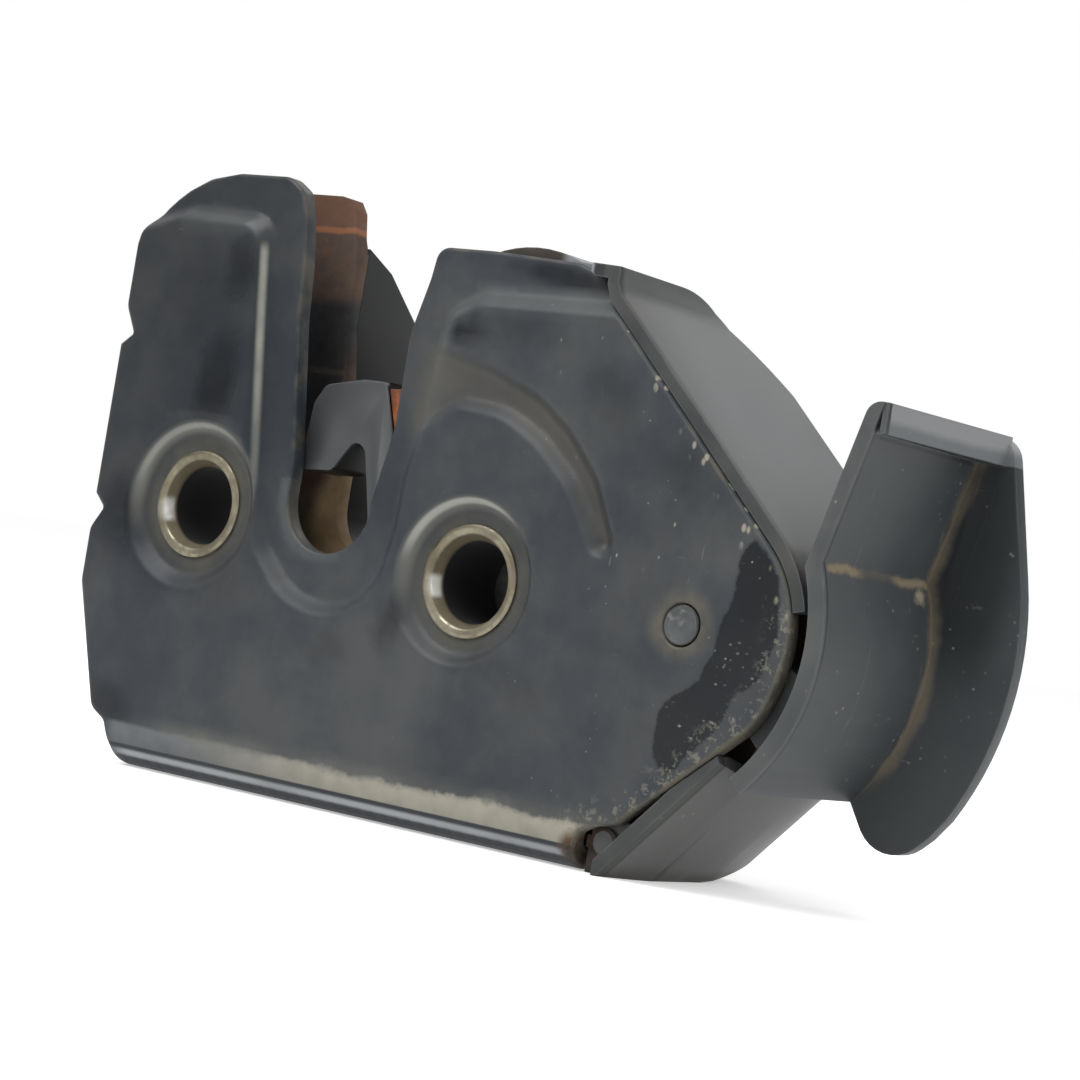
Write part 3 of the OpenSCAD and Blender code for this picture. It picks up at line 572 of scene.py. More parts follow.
def plate_material():
    m = Mat("plate_paint_worn", 0.2, 0.0, 0.22)
    x, z = m.axis("X"), m.axis("Z")
    paint = srgb(17, 20, 24)
    mottle = m.ramp(m.noise(38, 6, 0.68), 0.36, 0.64)
    film = m.mix(mottle, srgb(55, 60, 66), srgb(77, 79, 80))
    cloud = m.noise(26, 5, 0.6)
    fine = m.noise(420, 4, 0.6)
    # film of dust over dark gloss paint, thinner on the left, in patches that are partly painted dark reflection, and
    # wiped off at the right
    torn = m.jitter(1.5, 420, 4, 0.65)
    wiped = m.ramp(m.add(m.attribute("wiped"), torn), -0.15, 0.35)
    dust = m.ramp(cloud, 0.25, 0.75, 0.66, 0.96)
    dust = m.mul(dust, m.max(m.ramp(x, -38, -20, 0.62, 1.0), m.ramp(z, 2, -14, 0.62, 1.0)))
    patch = m.mul(m.attribute("patch"), m.ramp(m.noise(60, 3), 0.3, 0.6, 0.6, 1.0))
    dust = m.mul(dust, m.sub(1.0, m.mul(patch, 0.84)))
    dust = m.mul(dust, m.sub(1.0, m.mul(wiped, 0.86)))
    color = m.mix(dust, paint, film)
    smear = m.ramp(m.noise(48, 5, 0.65, m.mapping((1, 1, 0.45), (0, 0.35, 0)), 0.6), 0.52, 0.68, 0.0, 0.30)
    color = m.mix(m.mul(smear, m.ramp(x, -14, 6)), color, srgb(40, 44, 48))
    # paler shoulders of the pressed steps: painted highlight
    soft = m.mul(m.attribute("soft"), m.ramp(m.noise(90, 3), 0.25, 0.65, 0.55, 1.0))
    color = m.mix(soft, color, srgb(92, 95, 95))
    # painted highlight: a bright line along the step left of the slot, and its distance in x
    lx = m.abs(m.add(m.add(x, m.mul(z, 0.1477)), 29.53))
    line = m.mul(m.ramp(z, 33.3, 31.6), m.mul(m.ramp(z, 5, 24, 0.35, 0.95), m.ramp(z, 2, 9)))
    line = m.mul(line, m.ramp(lx, 0.5, 0.05))
    line = m.mul(line, m.ramp(m.noise(240, 4), 0.3, 0.7, 0.72, 1.0))
    color = m.mix(line, color, srgb(146, 147, 138))
    # dirt in the arc groove
    dirt = m.ramp(m.noise(150, 5, 0.6), 0.3, 0.7, 0.55, 1.0)
    color = m.mix(m.mul(m.attribute("groove"), m.mul(dirt, 0.8)), color, srgb(82, 79, 73))
    # dirt round the rivet and round each bush, and a painted highlight arc on each dimple's upper edge
    halo = m.mul(m.ramp(m.radial(*PIVOT), 4.4, 2.1), m.ramp(m.noise(420, 4), 0.25, 0.75, 0.1, 0.55))
    color = m.mix(halo, color, srgb(112, 106, 88))
    for c, r, _, shine in DIMPLES:
        d = m.radial(*c)
        ring = m.mul(m.ramp(d, r + 0.4, 5.9), m.ramp(m.noise(260, 4), 0.25, 0.75, 0.35, 0.85))
        color = m.mix(ring, color, srgb(82, 80, 72))
        across = c[1] - 0.5 * c[0]
        crest = m.mul(m.band(d, r, 0.95, 0.1), m.ramp(m.add(z, m.mul(x, -0.5)), across - 2, across + 7))
        color = m.mix(m.mul(crest, 0.6), color, srgb(128, 128, 121))
        across = c[1] - 0.35 * c[0]
        thin = m.mul(m.band(d, r + 0.15, 0.42, 0.1), m.ramp(m.add(z, m.mul(x, -0.35)), across + 3.5, across + 7.5))
        color = m.mix(m.mul(thin, shine), color, srgb(178, 178, 172))
    # bottom bend: dry dirt, then painted reflection below it: a thin dark line, a bright highlight line, dark below
    # that, and a faint paler line
    sheet = m.attribute("sheet")
    ragged = m.jitter(m.ramp(x, -40, 5, 0.5, 3.4), 150, 5, 0.7)
    low = m.add(sheet, ragged)
    beige = m.mul(m.ramp(low, -21.3, -21.9), m.ramp(sheet, -23.62, -23.45))
    beige = m.mul(beige, m.ramp(x, -46.0, -43.5))
    color = m.mix(m.mul(beige, m.ramp(m.noise(330, 4), 0.2, 0.7, 0.75, 1.0)), color,
                  m.mix(m.ramp(x, -38, -10), srgb(106, 109, 111), srgb(160, 156, 143)))
    fringe = m.mul(m.ramp(low, -19.6, -21.6), m.ramp(low, -22.2, -21.8))
    fringe = m.mul(fringe, m.mul(m.ramp(m.noise(120, 4), 0.35, 0.7, 0.2, 0.6), m.ramp(x, -44, -36)))
    color = m.mix(fringe, color, srgb(112, 112, 106))
    under = m.ramp(sheet, -23.5, -23.62)
    color = m.mix(under, color, srgb(46, 49, 54))
    bright = m.mul(m.ramp(sheet, -23.8, -24.2), m.ramp(sheet, -24.85, -24.4))
    bright = m.mul(bright, m.ramp(x, -45.5, -42.0))
    color = m.mix(m.mul(bright, m.ramp(m.noise(60, 3), 0.3, 0.6, 0.7, 1.0)), color, srgb(168, 171, 174))
    faint = m.mul(m.ramp(sheet, -25.35, -25.7), m.ramp(sheet, -26.6, -26.2))
    color = m.mix(m.mul(faint, 0.5), color, srgb(96, 100, 106))
    # scattered specks, thicker towards the right, and chips along the lower right rim
    right = m.ramp(x, -8, 30, 0.06, 1.0)
    specks = m.mul(m.dots(1150, 0.17, 0.05), m.ramp(m.noise(190, 3), 0.57, 0.66))
    flecks = m.mul(m.dots(560, 0.1, 0.04, m.mapping((1, 1, 0.6), (0, 0.7, 0))), m.ramp(m.noise(90, 3), 0.5, 0.6))
    specks = m.mul(m.max(specks, flecks), right)
    flakes = m.mul(m.dots(900, 0.24, 0.1, m.mapping((1, 1, 1.6), (0, 0.4, 0))), m.ramp(m.noise(170, 4), 0.52, 0.62))
    flakes = m.mul(flakes, m.mul(wiped, m.ramp(z, 4, -8)))
    specks = m.max(specks, m.mul(flakes, 0.8))
    color = m.mix(m.mul(specks, 0.8), color, srgb(150, 150, 142))
    # chips along the plate's slanted top right edge, and hair scratches
    seam = m.add(m.mul(x, 0.733), m.mul(z, 0.68))
    seam = m.mul(m.ramp(seam, 28.0, 30.0), m.mul(m.ramp(x, 15, 20), m.ramp(m.noise(110, 3), 0.44, 0.54)))
    seam = m.mul(seam, m.dots(900, 0.3, 0.14, m.mapping((1, 1, 0.6), (0, -0.75, 0))))
    color = m.mix(m.mul(seam, 0.75), color, srgb(158, 154, 138))
    hair = m.noise(90, 3, 0.6, m.mapping((20, 1, 1.6), (0, 1.15, 0)), 0.4)
    hair = m.mul(m.ramp(hair, 0.69, 0.73), m.mul(m.ramp(m.noise(64, 2), 0.52, 0.6), right))
    color = m.mix(m.mul(hair, 0.5), color, srgb(132, 128, 112))
    rusty = m.ramp(m.add(m.radial(*RUSTY_CORNER), m.mul(m.noise(260, 4), 1.6)), 3.6, 2.2)
    color = m.mix(rusty, color, m.mix(m.ramp(m.noise(330, 5, 0.65), 0.35, 0.65), srgb(40, 35, 30), srgb(92, 72, 54)))
    # worn rim, a paler border all round and a few long scratches
    near = m.attribute("chip")
    chip = m.mul(m.ramp(near, 0.25, 0.95), m.ramp(m.noise(1250, 3, 0.75), 0.53, 0.62))
    color = m.mix(m.mul(chip, 0.6), color, srgb(132, 129, 118))
    rim = m.mul(m.ramp(m.attribute("edge"), 0.5, 0.1), m.ramp(near, 0.5, 0.9))
    color = m.mix(m.mul(rim, m.ramp(m.noise(300, 4), 0.25, 0.7, 0.25, 0.85)), color, srgb(98, 94, 82))
    border = m.mul(m.ramp(m.attribute("edge"), 0.5, 0.1), m.ramp(m.noise(300, 4), 0.4, 0.7))
    color = m.mix(m.mul(border, 0.5), color, srgb(98, 92, 80))
    streak = m.noise(60, 4, 0.7, m.mapping((3, 1, 26), (0, 0.5, 0)))
    scratch = m.mul(m.ramp(streak, 0.68, 0.72), m.ramp(m.noise(70, 2), 0.5, 0.62))
    color = m.mix(m.mul(scratch, 0.35), color, srgb(120, 121, 118))
    rough = m.add(m.mul(dust, 0.3), 0.14)
    rough = m.add(rough, m.mul(fine, 0.06))
    rough = m.add(rough, m.mul(m.max(m.max(specks, chip), beige), 0.35))
    n = m.bump(m.noise(55, 3), 0.12, 0.35)
    n = m.bump(fine, 0.05, 0.05, n)
    n = m.bump(m.max(specks, chip), 0.5, 0.1, n)
    return m.finish(color, rough, n)


def rivet_material():
    m = Mat("rivet_worn", 0.35)
    d = m.radial(*PIVOT)
    color = m.mix(m.ramp(m.noise(240, 5, 0.6), 0.3, 0.7), srgb(50, 53, 56), srgb(80, 83, 84))
    color = m.mix(m.band(d, 1.93, 0.16, 0.04), color, srgb(44, 42, 40))
    color = m.mix(m.mul(m.ramp(m.noise(500, 3), 0.55, 0.68), 0.4), color, srgb(150, 148, 138))
    n = m.bump(m.noise(260, 5), 0.3, 0.12)
    return m.finish(color, m.ramp(m.noise(300, 3), 0.3, 0.7, 0.3, 0.5), n)


def plastic_material(name, base, dusty, crease, rough, grain=0.12, dark_behind=None):
    """Scuffed moulding. Its sides are near black behind the given y."""
    m = Mat(name, rough)
    cloud = m.noise(34, 5, 0.6)
    color = m.mix(m.ramp(cloud, 0.3, 0.7, 0.0, 0.5), base, tuple(min(1, c * 1.35) for c in base[:3]) + (1,))
    edge = m.mul(m.worn(0.35), m.ramp(m.noise(260, 3), 0.35, 0.65, 0.2, 0.9))
    color = m.mix(m.mul(edge, 0.45), color, srgb(138, 138, 134))
    dirt = m.mul(m.ramp(m.creases(2.2), 0.25, 0.8), m.ramp(m.noise(190, 4), 0.3, 0.7, 0.15, 1.0))
    color = m.mix(m.mul(dirt, crease), color, dusty)
    specks = m.mul(m.dots(700, 0.2, 0.08), m.ramp(m.noise(120, 3), 0.58, 0.66))
    color = m.mix(m.mul(specks, 0.6), color, srgb(170, 165, 152))
    streak = m.noise(50, 4, 0.7, m.mapping((22, 1, 2), (0, -0.3, 0)))
    color = m.mix(m.mul(m.ramp(streak, 0.66, 0.74), 0.22), color, srgb(160, 158, 150))
    if dark_behind is not None:
        sides = m.ramp(m.axis("Y"), dark_behind + 0.2, dark_behind + 0.6)
        color = m.mix(sides, color, srgb(22, 21, 20))
    rg = m.add(m.ramp(cloud, 0.2, 0.8, rough - 0.08, rough + 0.1), m.mul(dirt, 0.25))
    n = m.bump(m.noise(2600, 2), grain, 0.03)
    n = m.bump(m.noise(60, 3), 0.08, 0.3, n)
    return m.finish(color, rg, n)


def housing_material():
    m = Mat("housing_grey", 0.5, 0.0, 0.35)
    x, y, z = m.axis("X"), m.axis("Y"), m.axis("Z")
    cloud = m.noise(30, 5, 0.6)
    color = m.mix(m.ramp(cloud, 0.3, 0.7), srgb(74, 76, 77), srgb(90, 91, 91))
    color = m.mix(m.ramp(z, 4, -24, 0.0, 0.6), color, srgb(88, 89, 86))
    # front rim: darker, with a thin dark line behind it
    rim = m.ramp(y, 0.1, -0.35)
    color = m.mix(rim, color, m.mix(m.ramp(m.noise(120, 4), 0.3, 0.7), srgb(48, 51, 52), srgb(64, 66, 66)))
    line = m.mul(m.band(y, 0.05, 0.3, 0.1), m.ramp(z, 6, -2, 0.3, 1.0))
    color = m.mix(m.mul(line, 0.8), color, srgb(46, 44, 42))
    # dark brown on the hump over the plate, and a pale stretch beside it
    hump = m.mul(m.ramp(x, 4.4, 2.8), m.ramp(z, 33.2, 33.9))
    hump = m.mul(hump, m.ramp(y, 12, 8))
    color = m.mix(hump, color, m.mix(m.ramp(m.noise(160, 4), 0.3, 0.7), srgb(42, 38, 34), srgb(70, 62, 52)))
    pale = m.mul(m.mul(m.ramp(x, 3.0, 4.4), m.ramp(x, 10.1, 9.6)), m.ramp(z, 31.6, 32.4))
    pale = m.mul(pale, m.ramp(y, 9, 5))
    color = m.mix(pale, color, srgb(136, 138, 141))
    # painted shade: a small dark V where the top face meets the rim's top right corner
    notch = m.mul(m.mul(m.ramp(x, 9.6, 10.0), m.ramp(x, 11.3, 10.9)), m.ramp(z, 30.8, 31.6))
    color = m.mix(m.mul(notch, m.ramp(y, 2.6, 2.0, 0.0, 0.85)), color, srgb(34, 35, 35))
    edge = m.mul(m.worn(0.35), m.ramp(m.noise(260, 3), 0.35, 0.65, 0.2, 0.9))
    color = m.mix(m.mul(edge, 0.35), color, srgb(120, 120, 116))
    dirt = m.mul(m.ramp(m.creases(2.2), 0.3, 0.85), m.ramp(m.noise(190, 4), 0.3, 0.7, 0.15, 1.0))
    dirt = m.mul(dirt, m.ramp(y, -0.6, 0.2, 0.25, 1.0))
    color = m.mix(m.mul(dirt, 0.5), color, srgb(74, 68, 57))
    color = m.mix(m.mul(m.ramp(m.noise(22, 4, 0.7), 0.5, 0.7), 0.25), color, srgb(96, 93, 84))
    specks = m.mul(m.dots(700, 0.18, 0.08), m.ramp(m.noise(120, 3), 0.58, 0.66))
    color = m.mix(m.mul(specks, 0.5), color, srgb(130, 128, 120))
    # walls of the striker channel, seen through the slot, darkened with painted shade, and rust on the corner at the
    # clip
    color = m.mix(m.ramp(x, -10.7, -11.2), color, m.mix(m.ramp(z, 10, 30), srgb(42, 42, 41), srgb(48, 49, 50)))
    rust = m.mul(m.mul(m.ramp(x, 21.2, 20.3), m.ramp(z, -19.0, -20.6)), m.ramp(y, 4.5, 3.0))
    ruddy = m.mix(m.ramp(m.noise(260, 5, 0.65), 0.35, 0.65), srgb(40, 33, 29), srgb(92, 66, 48))
    color = m.mix(m.mul(rust, m.ramp(m.noise(140, 3), 0.3, 0.5, 0.6, 1.0)), color, ruddy)
    streak = m.noise(50, 4, 0.7, m.mapping((22, 1, 2), (0, -0.3, 0)))
    color = m.mix(m.mul(m.ramp(streak, 0.66, 0.74), 0.08), color, srgb(124, 124, 120))
    rg = m.add(m.ramp(cloud, 0.2, 0.8, 0.36, 0.52), m.mul(dirt, 0.25))
    n = m.bump(m.noise(2600, 2), 0.1, 0.03)
    n = m.bump(m.noise(60, 3), 0.08, 0.3, n)
    return m.finish(color, rg, n)


def lever_material():
    m = Mat("lever_grey_worn", 0.48, 0.0, 0.35)
    x, y, z = m.axis("X"), m.axis("Y"), m.axis("Z")
    cloud = m.noise(30, 5, 0.6)
    color = m.mix(m.ramp(cloud, 0.3, 0.7), srgb(50, 54, 56), srgb(66, 69, 71))
    # rear flange, darker beside the upper crease
    deep = m.mul(m.ramp(y, 19.6, 20.6), m.ramp(z, -4.0, 3.0))
    deep = m.mul(deep, m.ramp(m.sub(x, m.mul(z, 0.1)), 51.2, 47.0))
    color = m.mix(m.mul(deep, 0.85), color, srgb(32, 36, 38))
    # front edge of the wall, with the thin dark line behind it, and the cap over the scoop
    front = m.ramp(y, -0.62, -0.82)
    color = m.mix(front, color, m.mix(m.ramp(m.noise(90, 3), 0.3, 0.7), srgb(62, 65, 66), srgb(80, 82, 82)))
    line = m.band(y, m.add(m.mul(m.noise(160, 3), 0.2), -0.52), 0.16, 0.06)
    color = m.mix(m.mul(line, m.ramp(m.noise(200, 3), 0.3, 0.6, 0.5, 0.95)), color, srgb(30, 31, 32))
    # the cap painted paler and palest at its top: painted light on its upward face
    cap = m.mul(m.ramp(z, 19.72, 19.95), m.ramp(y, -0.4, -0.2))
    tone = m.add(z, m.mul(m.noise(90, 4), 0.8))
    color = m.mix(cap, color, m.mix(m.ramp(tone, 20.9, 21.9), srgb(94, 98, 100), srgb(126, 127, 128)))
    # painted shadow under the cap's lip
    under = m.mul(m.band(z, 19.6, 0.3, 0.12), m.ramp(y, 0.4, 0.8))
    color = m.mix(m.mul(under, 0.7), color, srgb(36, 37, 37))
    crack = m.band(y, m.add(m.mul(m.noise(420, 3), 0.7), -0.6), 0.15, 0.06)
    crack = m.mul(crack, m.ramp(z, 19.3, 19.7))
    color = m.mix(m.mul(crack, 0.8), color, srgb(44, 42, 40))
    edge = m.mul(m.worn(0.4), m.ramp(m.noise(260, 3), 0.35, 0.65, 0.3, 0.95))
    color = m.mix(m.mul(edge, 0.45), color, srgb(98, 99, 98))
    dirt = m.mul(m.ramp(m.creases(2.6), 0.35, 0.85), m.ramp(m.noise(160, 4), 0.3, 0.65, 0.1, 1.0))
    color = m.mix(m.mul(dirt, 0.4), color, srgb(86, 80, 68))
    # dust along the joint of wall and flange; the wall is an arc below z 7.2 and leans straight above it
    r = m.sub(m.radial(*WALL_AT), WALL_R)
    lean = m.sub(x, m.add(m.mul(z, 0.254), 39.27))
    off = m.add(m.mul(r, m.ramp(z, 7.4, 7.0)), m.mul(lean, m.ramp(z, 7.0, 7.4)))
    near = m.sub(m.hypot(off, m.sub(y, FLANGE_Y)), m.jitter(2.0, 210, 4, 0.65))
    dust = m.mul(m.ramp(near, 1.35, 0.1), m.ramp(z, 19.0, 8.0, 0.55, 1.0))
    dust = m.mul(dust, m.ramp(z, -15.5, -11, 0.0, 1.0))
    dust = m.mul(dust, m.ramp(m.noise(120, 4), 0.2, 0.6, 0.4, 1.0))
    color = m.mix(m.mul(dust, 0.75), color, srgb(112, 104, 88))
    # dust caught on the crease where the curved wall turns straight
    wave = m.add(z, m.jitter(1.8, 170, 4, 0.7))
    crease = m.band(wave, 6.9, 0.62, 0.08)
    crease = m.mul(crease, m.mul(m.ramp(x, 39.0, 40.6), m.ramp(y, 20.6, 20.1)))
    ends = m.max(m.ramp(y, 7.5, 5.2), m.ramp(y, 12.0, 15.0))
    crease = m.mul(crease, m.mul(m.add(m.mul(ends, 0.8), 0.2), m.ramp(y, -0.4, 0.4)))
    color = m.mix(m.mul(crease, 0.85), color, srgb(126, 114, 92))
    # pale spot where the two meet
    spot = m.hypot(m.div(m.sub(y, 18.6), 1.7), m.div(m.sub(z, 5.7), 1.1))
    spot = m.ramp(m.add(spot, m.jitter(3.2, 520, 5, 0.7)), 1.1, 0.1)
    spot = m.mul(spot, m.ramp(x, 39.0, 40.6))
    color = m.mix(m.mul(spot, 0.75), color, srgb(158, 150, 130))
    specks = m.mul(m.dots(800, 0.17, 0.06), m.ramp(m.noise(140, 3), 0.53, 0.62))
    color = m.mix(m.mul(specks, 0.65), color, srgb(134, 131, 122))
    streak = m.noise(46, 4, 0.7, m.mapping((2, 14, 26), (0.15, 0, 0)))
    scratch = m.mul(m.ramp(streak, 0.66, 0.71), m.ramp(m.noise(60, 2), 0.45, 0.6))
    color = m.mix(m.mul(scratch, 0.45), color, srgb(104, 105, 102))
    hair = m.noise(70, 3, 0.6, m.mapping((1.5, 22, 1.5), (0.9, 0, 0)), 0.4)
    hair = m.mul(m.ramp(hair, 0.68, 0.72), m.ramp(m.noise(80, 2), 0.5, 0.6))
    color = m.mix(m.mul(hair, 0.4), color, srgb(112, 112, 108))
    rg = m.add(m.ramp(cloud, 0.2, 0.8, 0.4, 0.56), m.mul(m.max(dust, crease), 0.3))
    n = m.bump(m.noise(2200, 2), 0.12, 0.03)
    n = m.bump(m.noise(50, 3), 0.1, 0.3, n)
    n = m.bump(m.max(dust, crease), 0.25, 0.1, n)
    return m.finish(color, rg, n)


def back_plate_material():
    m = Mat("rust_brown", 0.75)
    x, z = m.axis("X"), m.axis("Z")
    a = m.noise(110, 6, 0.65)
    b = m.noise(520, 5, 0.65)
    color = m.mix(m.ramp(a, 0.3, 0.7), srgb(54, 40, 33), srgb(86, 66, 53))
    color = m.mix(m.mul(m.ramp(b, 0.5, 0.72), 0.35), color, srgb(116, 78, 52))
    # redder above z 36, with an orange painted highlight line on the bent border, and tan at the foot of the slot with
    # a paler patch of painted light
    color = m.mix(m.mul(m.ramp(z, 36.0, 37.0), 0.6), color, srgb(104, 66, 44))
    rise = m.add(z, m.jitter(1.4, 130, 3))
    color = m.mix(m.mul(m.band(rise, 36.2, 0.5, 0.12), 0.65), color, srgb(150, 92, 54))
    color = m.mix(m.ramp(z, 9, 3), color, m.mix(m.ramp(a, 0.3, 0.7), srgb(78, 68, 54), srgb(118, 104, 82)))
    # a pale tan patch at the foot of the slot: painted light where the plate lies in shade
    painted_light_patch = m.mul(m.ramp(m.radial(SLOT_AT[0], 4.5), 10.0, 7.5), m.ramp(z, 11.5, 9.5))
    color = m.mix(painted_light_patch, color, m.mix(m.ramp(a, 0.3, 0.7), srgb(136, 112, 84), srgb(172, 148, 112)))
    # near black left of the slot, with a paler streak across it
    dark_area = m.mul(m.ramp(m.add(x, m.jitter(1.2, 200, 3)), -27.4, -28.6),
                   m.mul(m.ramp(rise, 29.6, 27.4), m.ramp(rise, 12.0, 14.0)))
    color = m.mix(dark_area, color, srgb(17, 17, 18))
    bar = m.mul(dark_area, m.band(z, 20.4, 0.5, 0.15))
    color = m.mix(m.mul(bar, 0.5), color, srgb(66, 58, 50))
    rough = m.sub(m.ramp(b, 0.3, 0.7, 0.6, 0.9), m.mul(dark_area, 0.1))
    n = m.bump(b, 0.4, 0.1)
    n = m.bump(m.noise(200, 5), 0.3, 0.25, n)
    return m.finish(color, rough, n)


def rust_material(name, dark, mid, bright):
    m = Mat(name, 0.75)
    a = m.noise(150, 6, 0.65)
    b = m.noise(620, 5, 0.65)
    color = m.mix(m.ramp(a, 0.3, 0.7), dark, mid)
    color = m.mix(m.mul(m.ramp(b, 0.48, 0.7), 0.5), color, bright)
    color = m.mix(m.mul(m.ramp(m.noise(85, 4), 0.5, 0.64), 0.55), color, srgb(38, 34, 33))
    rough = m.ramp(b, 0.3, 0.7, 0.6, 0.9)
    n = m.bump(b, 0.5, 0.12)
    n = m.bump(m.noise(200, 5), 0.35, 0.3, n)
    return m.finish(color, rough, n)


def zinc_material():
    m = Mat("zinc_worn", 0.3, 1.0)
    y = m.axis("Y")
    near = m.min(m.radial(0, 0), m.radial(*FIX))
    a = m.noise(120, 5, 0.6)
    b = m.noise(520, 4, 0.6)
    color = m.mix(m.ramp(a, 0.3, 0.7), srgb(112, 106, 88), srgb(158, 152, 134))
    dirt = m.ramp(b, 0.42, 0.66)
    color = m.mix(m.mul(dirt, 0.6), color, srgb(92, 83, 64))
    # painted highlight on the lower left of the flare, and painted shade: black inside the bore
    lit = m.max(m.ramp(m.radial(-4.6, -1.0), 1.5, 0.7), m.ramp(m.radial(FIX[0] - 4.6, FIX[1] - 1.0), 1.7, 0.8))
    lit = m.mul(lit, m.band(y, 0.75, 0.85, 0.25))
    flare = m.mul(m.ramp(y, 0.1, 0.45), m.ramp(near, 5.1, 4.85))
    color = m.mix(m.mul(flare, 0.8), color, srgb(92, 82, 62))
    lit = m.mul(lit, m.ramp(m.noise(300, 4), 0.3, 0.55, 0.4, 1.0))
    color = m.mix(lit, color, srgb(238, 238, 232))
    black = m.mul(m.ramp(y, 1.2, 1.75), m.ramp(near, 4.9, 4.6))
    color = m.mix(black, color, srgb(5, 5, 5))
    dull = m.max(m.mul(dirt, 0.6), m.mul(flare, 0.85))
    dull = m.mul(dull, m.sub(1.0, lit))
    metal = m.sub(1.0, m.max(dull, black))
    rough = m.max(m.ramp(b, 0.3, 0.75, 0.34, 0.66), m.max(black, m.mul(flare, 0.55)))
    n = m.bump(a, 0.15, 0.15)
    n = m.bump(b, 0.12, 0.06, n)
    return m.finish(color, rough, n, metal)


def steel_material(name, color_a, color_b, rough=0.35):
    m = Mat(name, rough, 1.0)
    a = m.noise(200, 5, 0.6)
    color = m.mix(m.ramp(a, 0.3, 0.7), color_a, color_b)
    b = m.noise(700, 4)
    color = m.mix(m.mul(m.ramp(b, 0.55, 0.7), 0.5), color, srgb(92, 70, 48))
    n = m.bump(b, 0.15, 0.05)
    return m.finish(color, m.ramp(b, 0.3, 0.7, rough - 0.08, rough + 0.2), n)


# ---------------------------------------------------------------- pieces

pressed_plate(plate_material())
JACKET_Y = min(v.co.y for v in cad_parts["catch_jacket"].data.vertices) / MM
core_m = rust_material("rust_orange", srgb(92, 50, 30), srgb(160, 84, 44), srgb(196, 112, 62))
zinc_m = zinc_material()
spring_m = steel_material("spring_oiled", srgb(96, 96, 98), srgb(140, 140, 142))
pawl_m = steel_material("pawl_blanked", srgb(110, 110, 112), srgb(150, 150, 150), 0.4)
screw_m = steel_material("screw_dull", srgb(100, 100, 100), srgb(150, 148, 140), 0.4)
clip_m = plastic_material("clip_grey", srgb(72, 73, 74), srgb(84, 62, 46), 0.7, 0.5)
nylon_m = plastic_material("washer_nylon", srgb(196, 190, 172), srgb(120, 106, 84), 0.8, 0.45, 0.05)
rubber_m = plastic_material("stop_black", srgb(28, 28, 29), srgb(80, 76, 68), 0.5, 0.7)
jacket_m = plastic_material("jacket_grey", srgb(60, 62, 64), srgb(44, 40, 36), 0.6, 0.5, dark_behind=JACKET_Y)

# node, name, body, material, convex, concave, least angle of a broken edge, segments
rounded_copy("rear_housing", "housing_shell", "frame", housing_material(), 0.3, 0.3, 40, 3)
rounded_copy("release_lever", "lever_scoop", "lever", lever_material(), 0.5, 1.0, 30, 4)
rounded_copy("catch_jacket", "catch_cover", "catch", jacket_m, 0.25, 0.25, 30, 3, upright=0.9)
rounded_copy("back_plate", "plate_rear", "frame", back_plate_material(), 0.25, 0.25, 40, 2)
rounded_copy("catch_core", "catch_steel", "catch", core_m, 0.2, 0.2, 40, 2)


def bush(name, node, centre):
    o = lathe(name, [
        (4.25, 1.7, 0.9), (4.9, 0.12, 0.5), (5.55, 0.0, 0.3), (5.93, 0.14, 0.2), (5.93, 0.4, 0), (5.5, 0.4, 0),
        (5.5, 2.4, 0), (6.3, 2.4, 0), (6.3, 8.8, 0), (5.5, 8.8, 0), (5.5, 10.8, 0), (5.9, 10.8, 0.1),
        (5.8, 11.3, 0.3), (4.7, 11.4, 0.4), (4.25, 10.6, 0.3)], centre, "frame", zinc_m, 112)
    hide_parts(node)


bush("bush_catch", "catch_bush", (0, 0))
bush("bush_fixing", "fixing_bush", FIX)
head = lathe("rivet_head", [
    (0, -1.2, 0), (1.35, -1.2, 0.2), (1.55, -1.12, 0.1), (1.75, -1.2, 0.15), (2.0, -1.12, 0.12), (2.0, 0.8, 0),
    (3.3, 0.8, 0), (3.3, 8.8, 0), (2.0, 8.8, 0), (2.0, 10.8, 0), (3.4, 10.8, 0.1), (3.1, 11.6, 0.4),
    (0, 11.7, 0)], PIVOT, "frame", rivet_material(), 64)
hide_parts("lever_rivet")


def winding_spring(node, name):
    """Copy of a torsion spring with the spring material, baked where it stands, in place of its CAD node."""
    o = link_object(name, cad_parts[node].data.copy())
    o.data.materials.clear()
    o.data.materials.append(spring_m)
    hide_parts(node)
    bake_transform(o)


winding_spring("catch_spring", "spring_catch")
winding_spring("pawl_spring", "spring_pawl")

# CAD nodes that stay as they are, with a material of their own
for material, nodes in (
        (pawl_m, ("pawl", "pawl_dowel")), (spring_m, ("stop_pin",)), (rubber_m, ("stop_sleeve",)),
        (nylon_m, ("catch_washer_front", "catch_washer_rear", "lever_washer", "pawl_washer")),
        (screw_m, ("housing_screws",)), (clip_m, ("housing_clip",))):
    for node in nodes:
        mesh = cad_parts[node].data
        mesh.materials.clear()
        mesh.materials.append(material)

# painted shade: a brown lump between the plate's bent edge and the housing, beside the clip, that keeps light from
# showing through the gap
LUMP_AT, LUMP_R = (16.6, 4.4, -23.4), (1.7, 2.0, 1.0)
bm = bmesh.new()
bmesh.ops.create_icosphere(bm, subdivisions=4, radius=1.0)
for v in bm.verts:
    k = 1 + 0.12 * math.sin(7 * v.co.x + 3 * v.co.z) + 0.08 * math.sin(11 * v.co.z + 5 * v.co.y)
    v.co = Vector([(at + r * k * c) * MM for at, r, c in zip(LUMP_AT, LUMP_R, v.co)])
lump = bpy.data.meshes.new("shade_blocking_lump")
bm.to_mesh(lump)
bm.free()
lump.materials.append(rust_material("shade_blocking_lump", srgb(58, 46, 36), srgb(92, 74, 56), srgb(120, 92, 66)))
shade_smooth(lump)
lump_o = link_object("shade_blocking_lump", lump)
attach(lump_o, "frame")

# ---------------------------------------------------------------- floor, light and camera

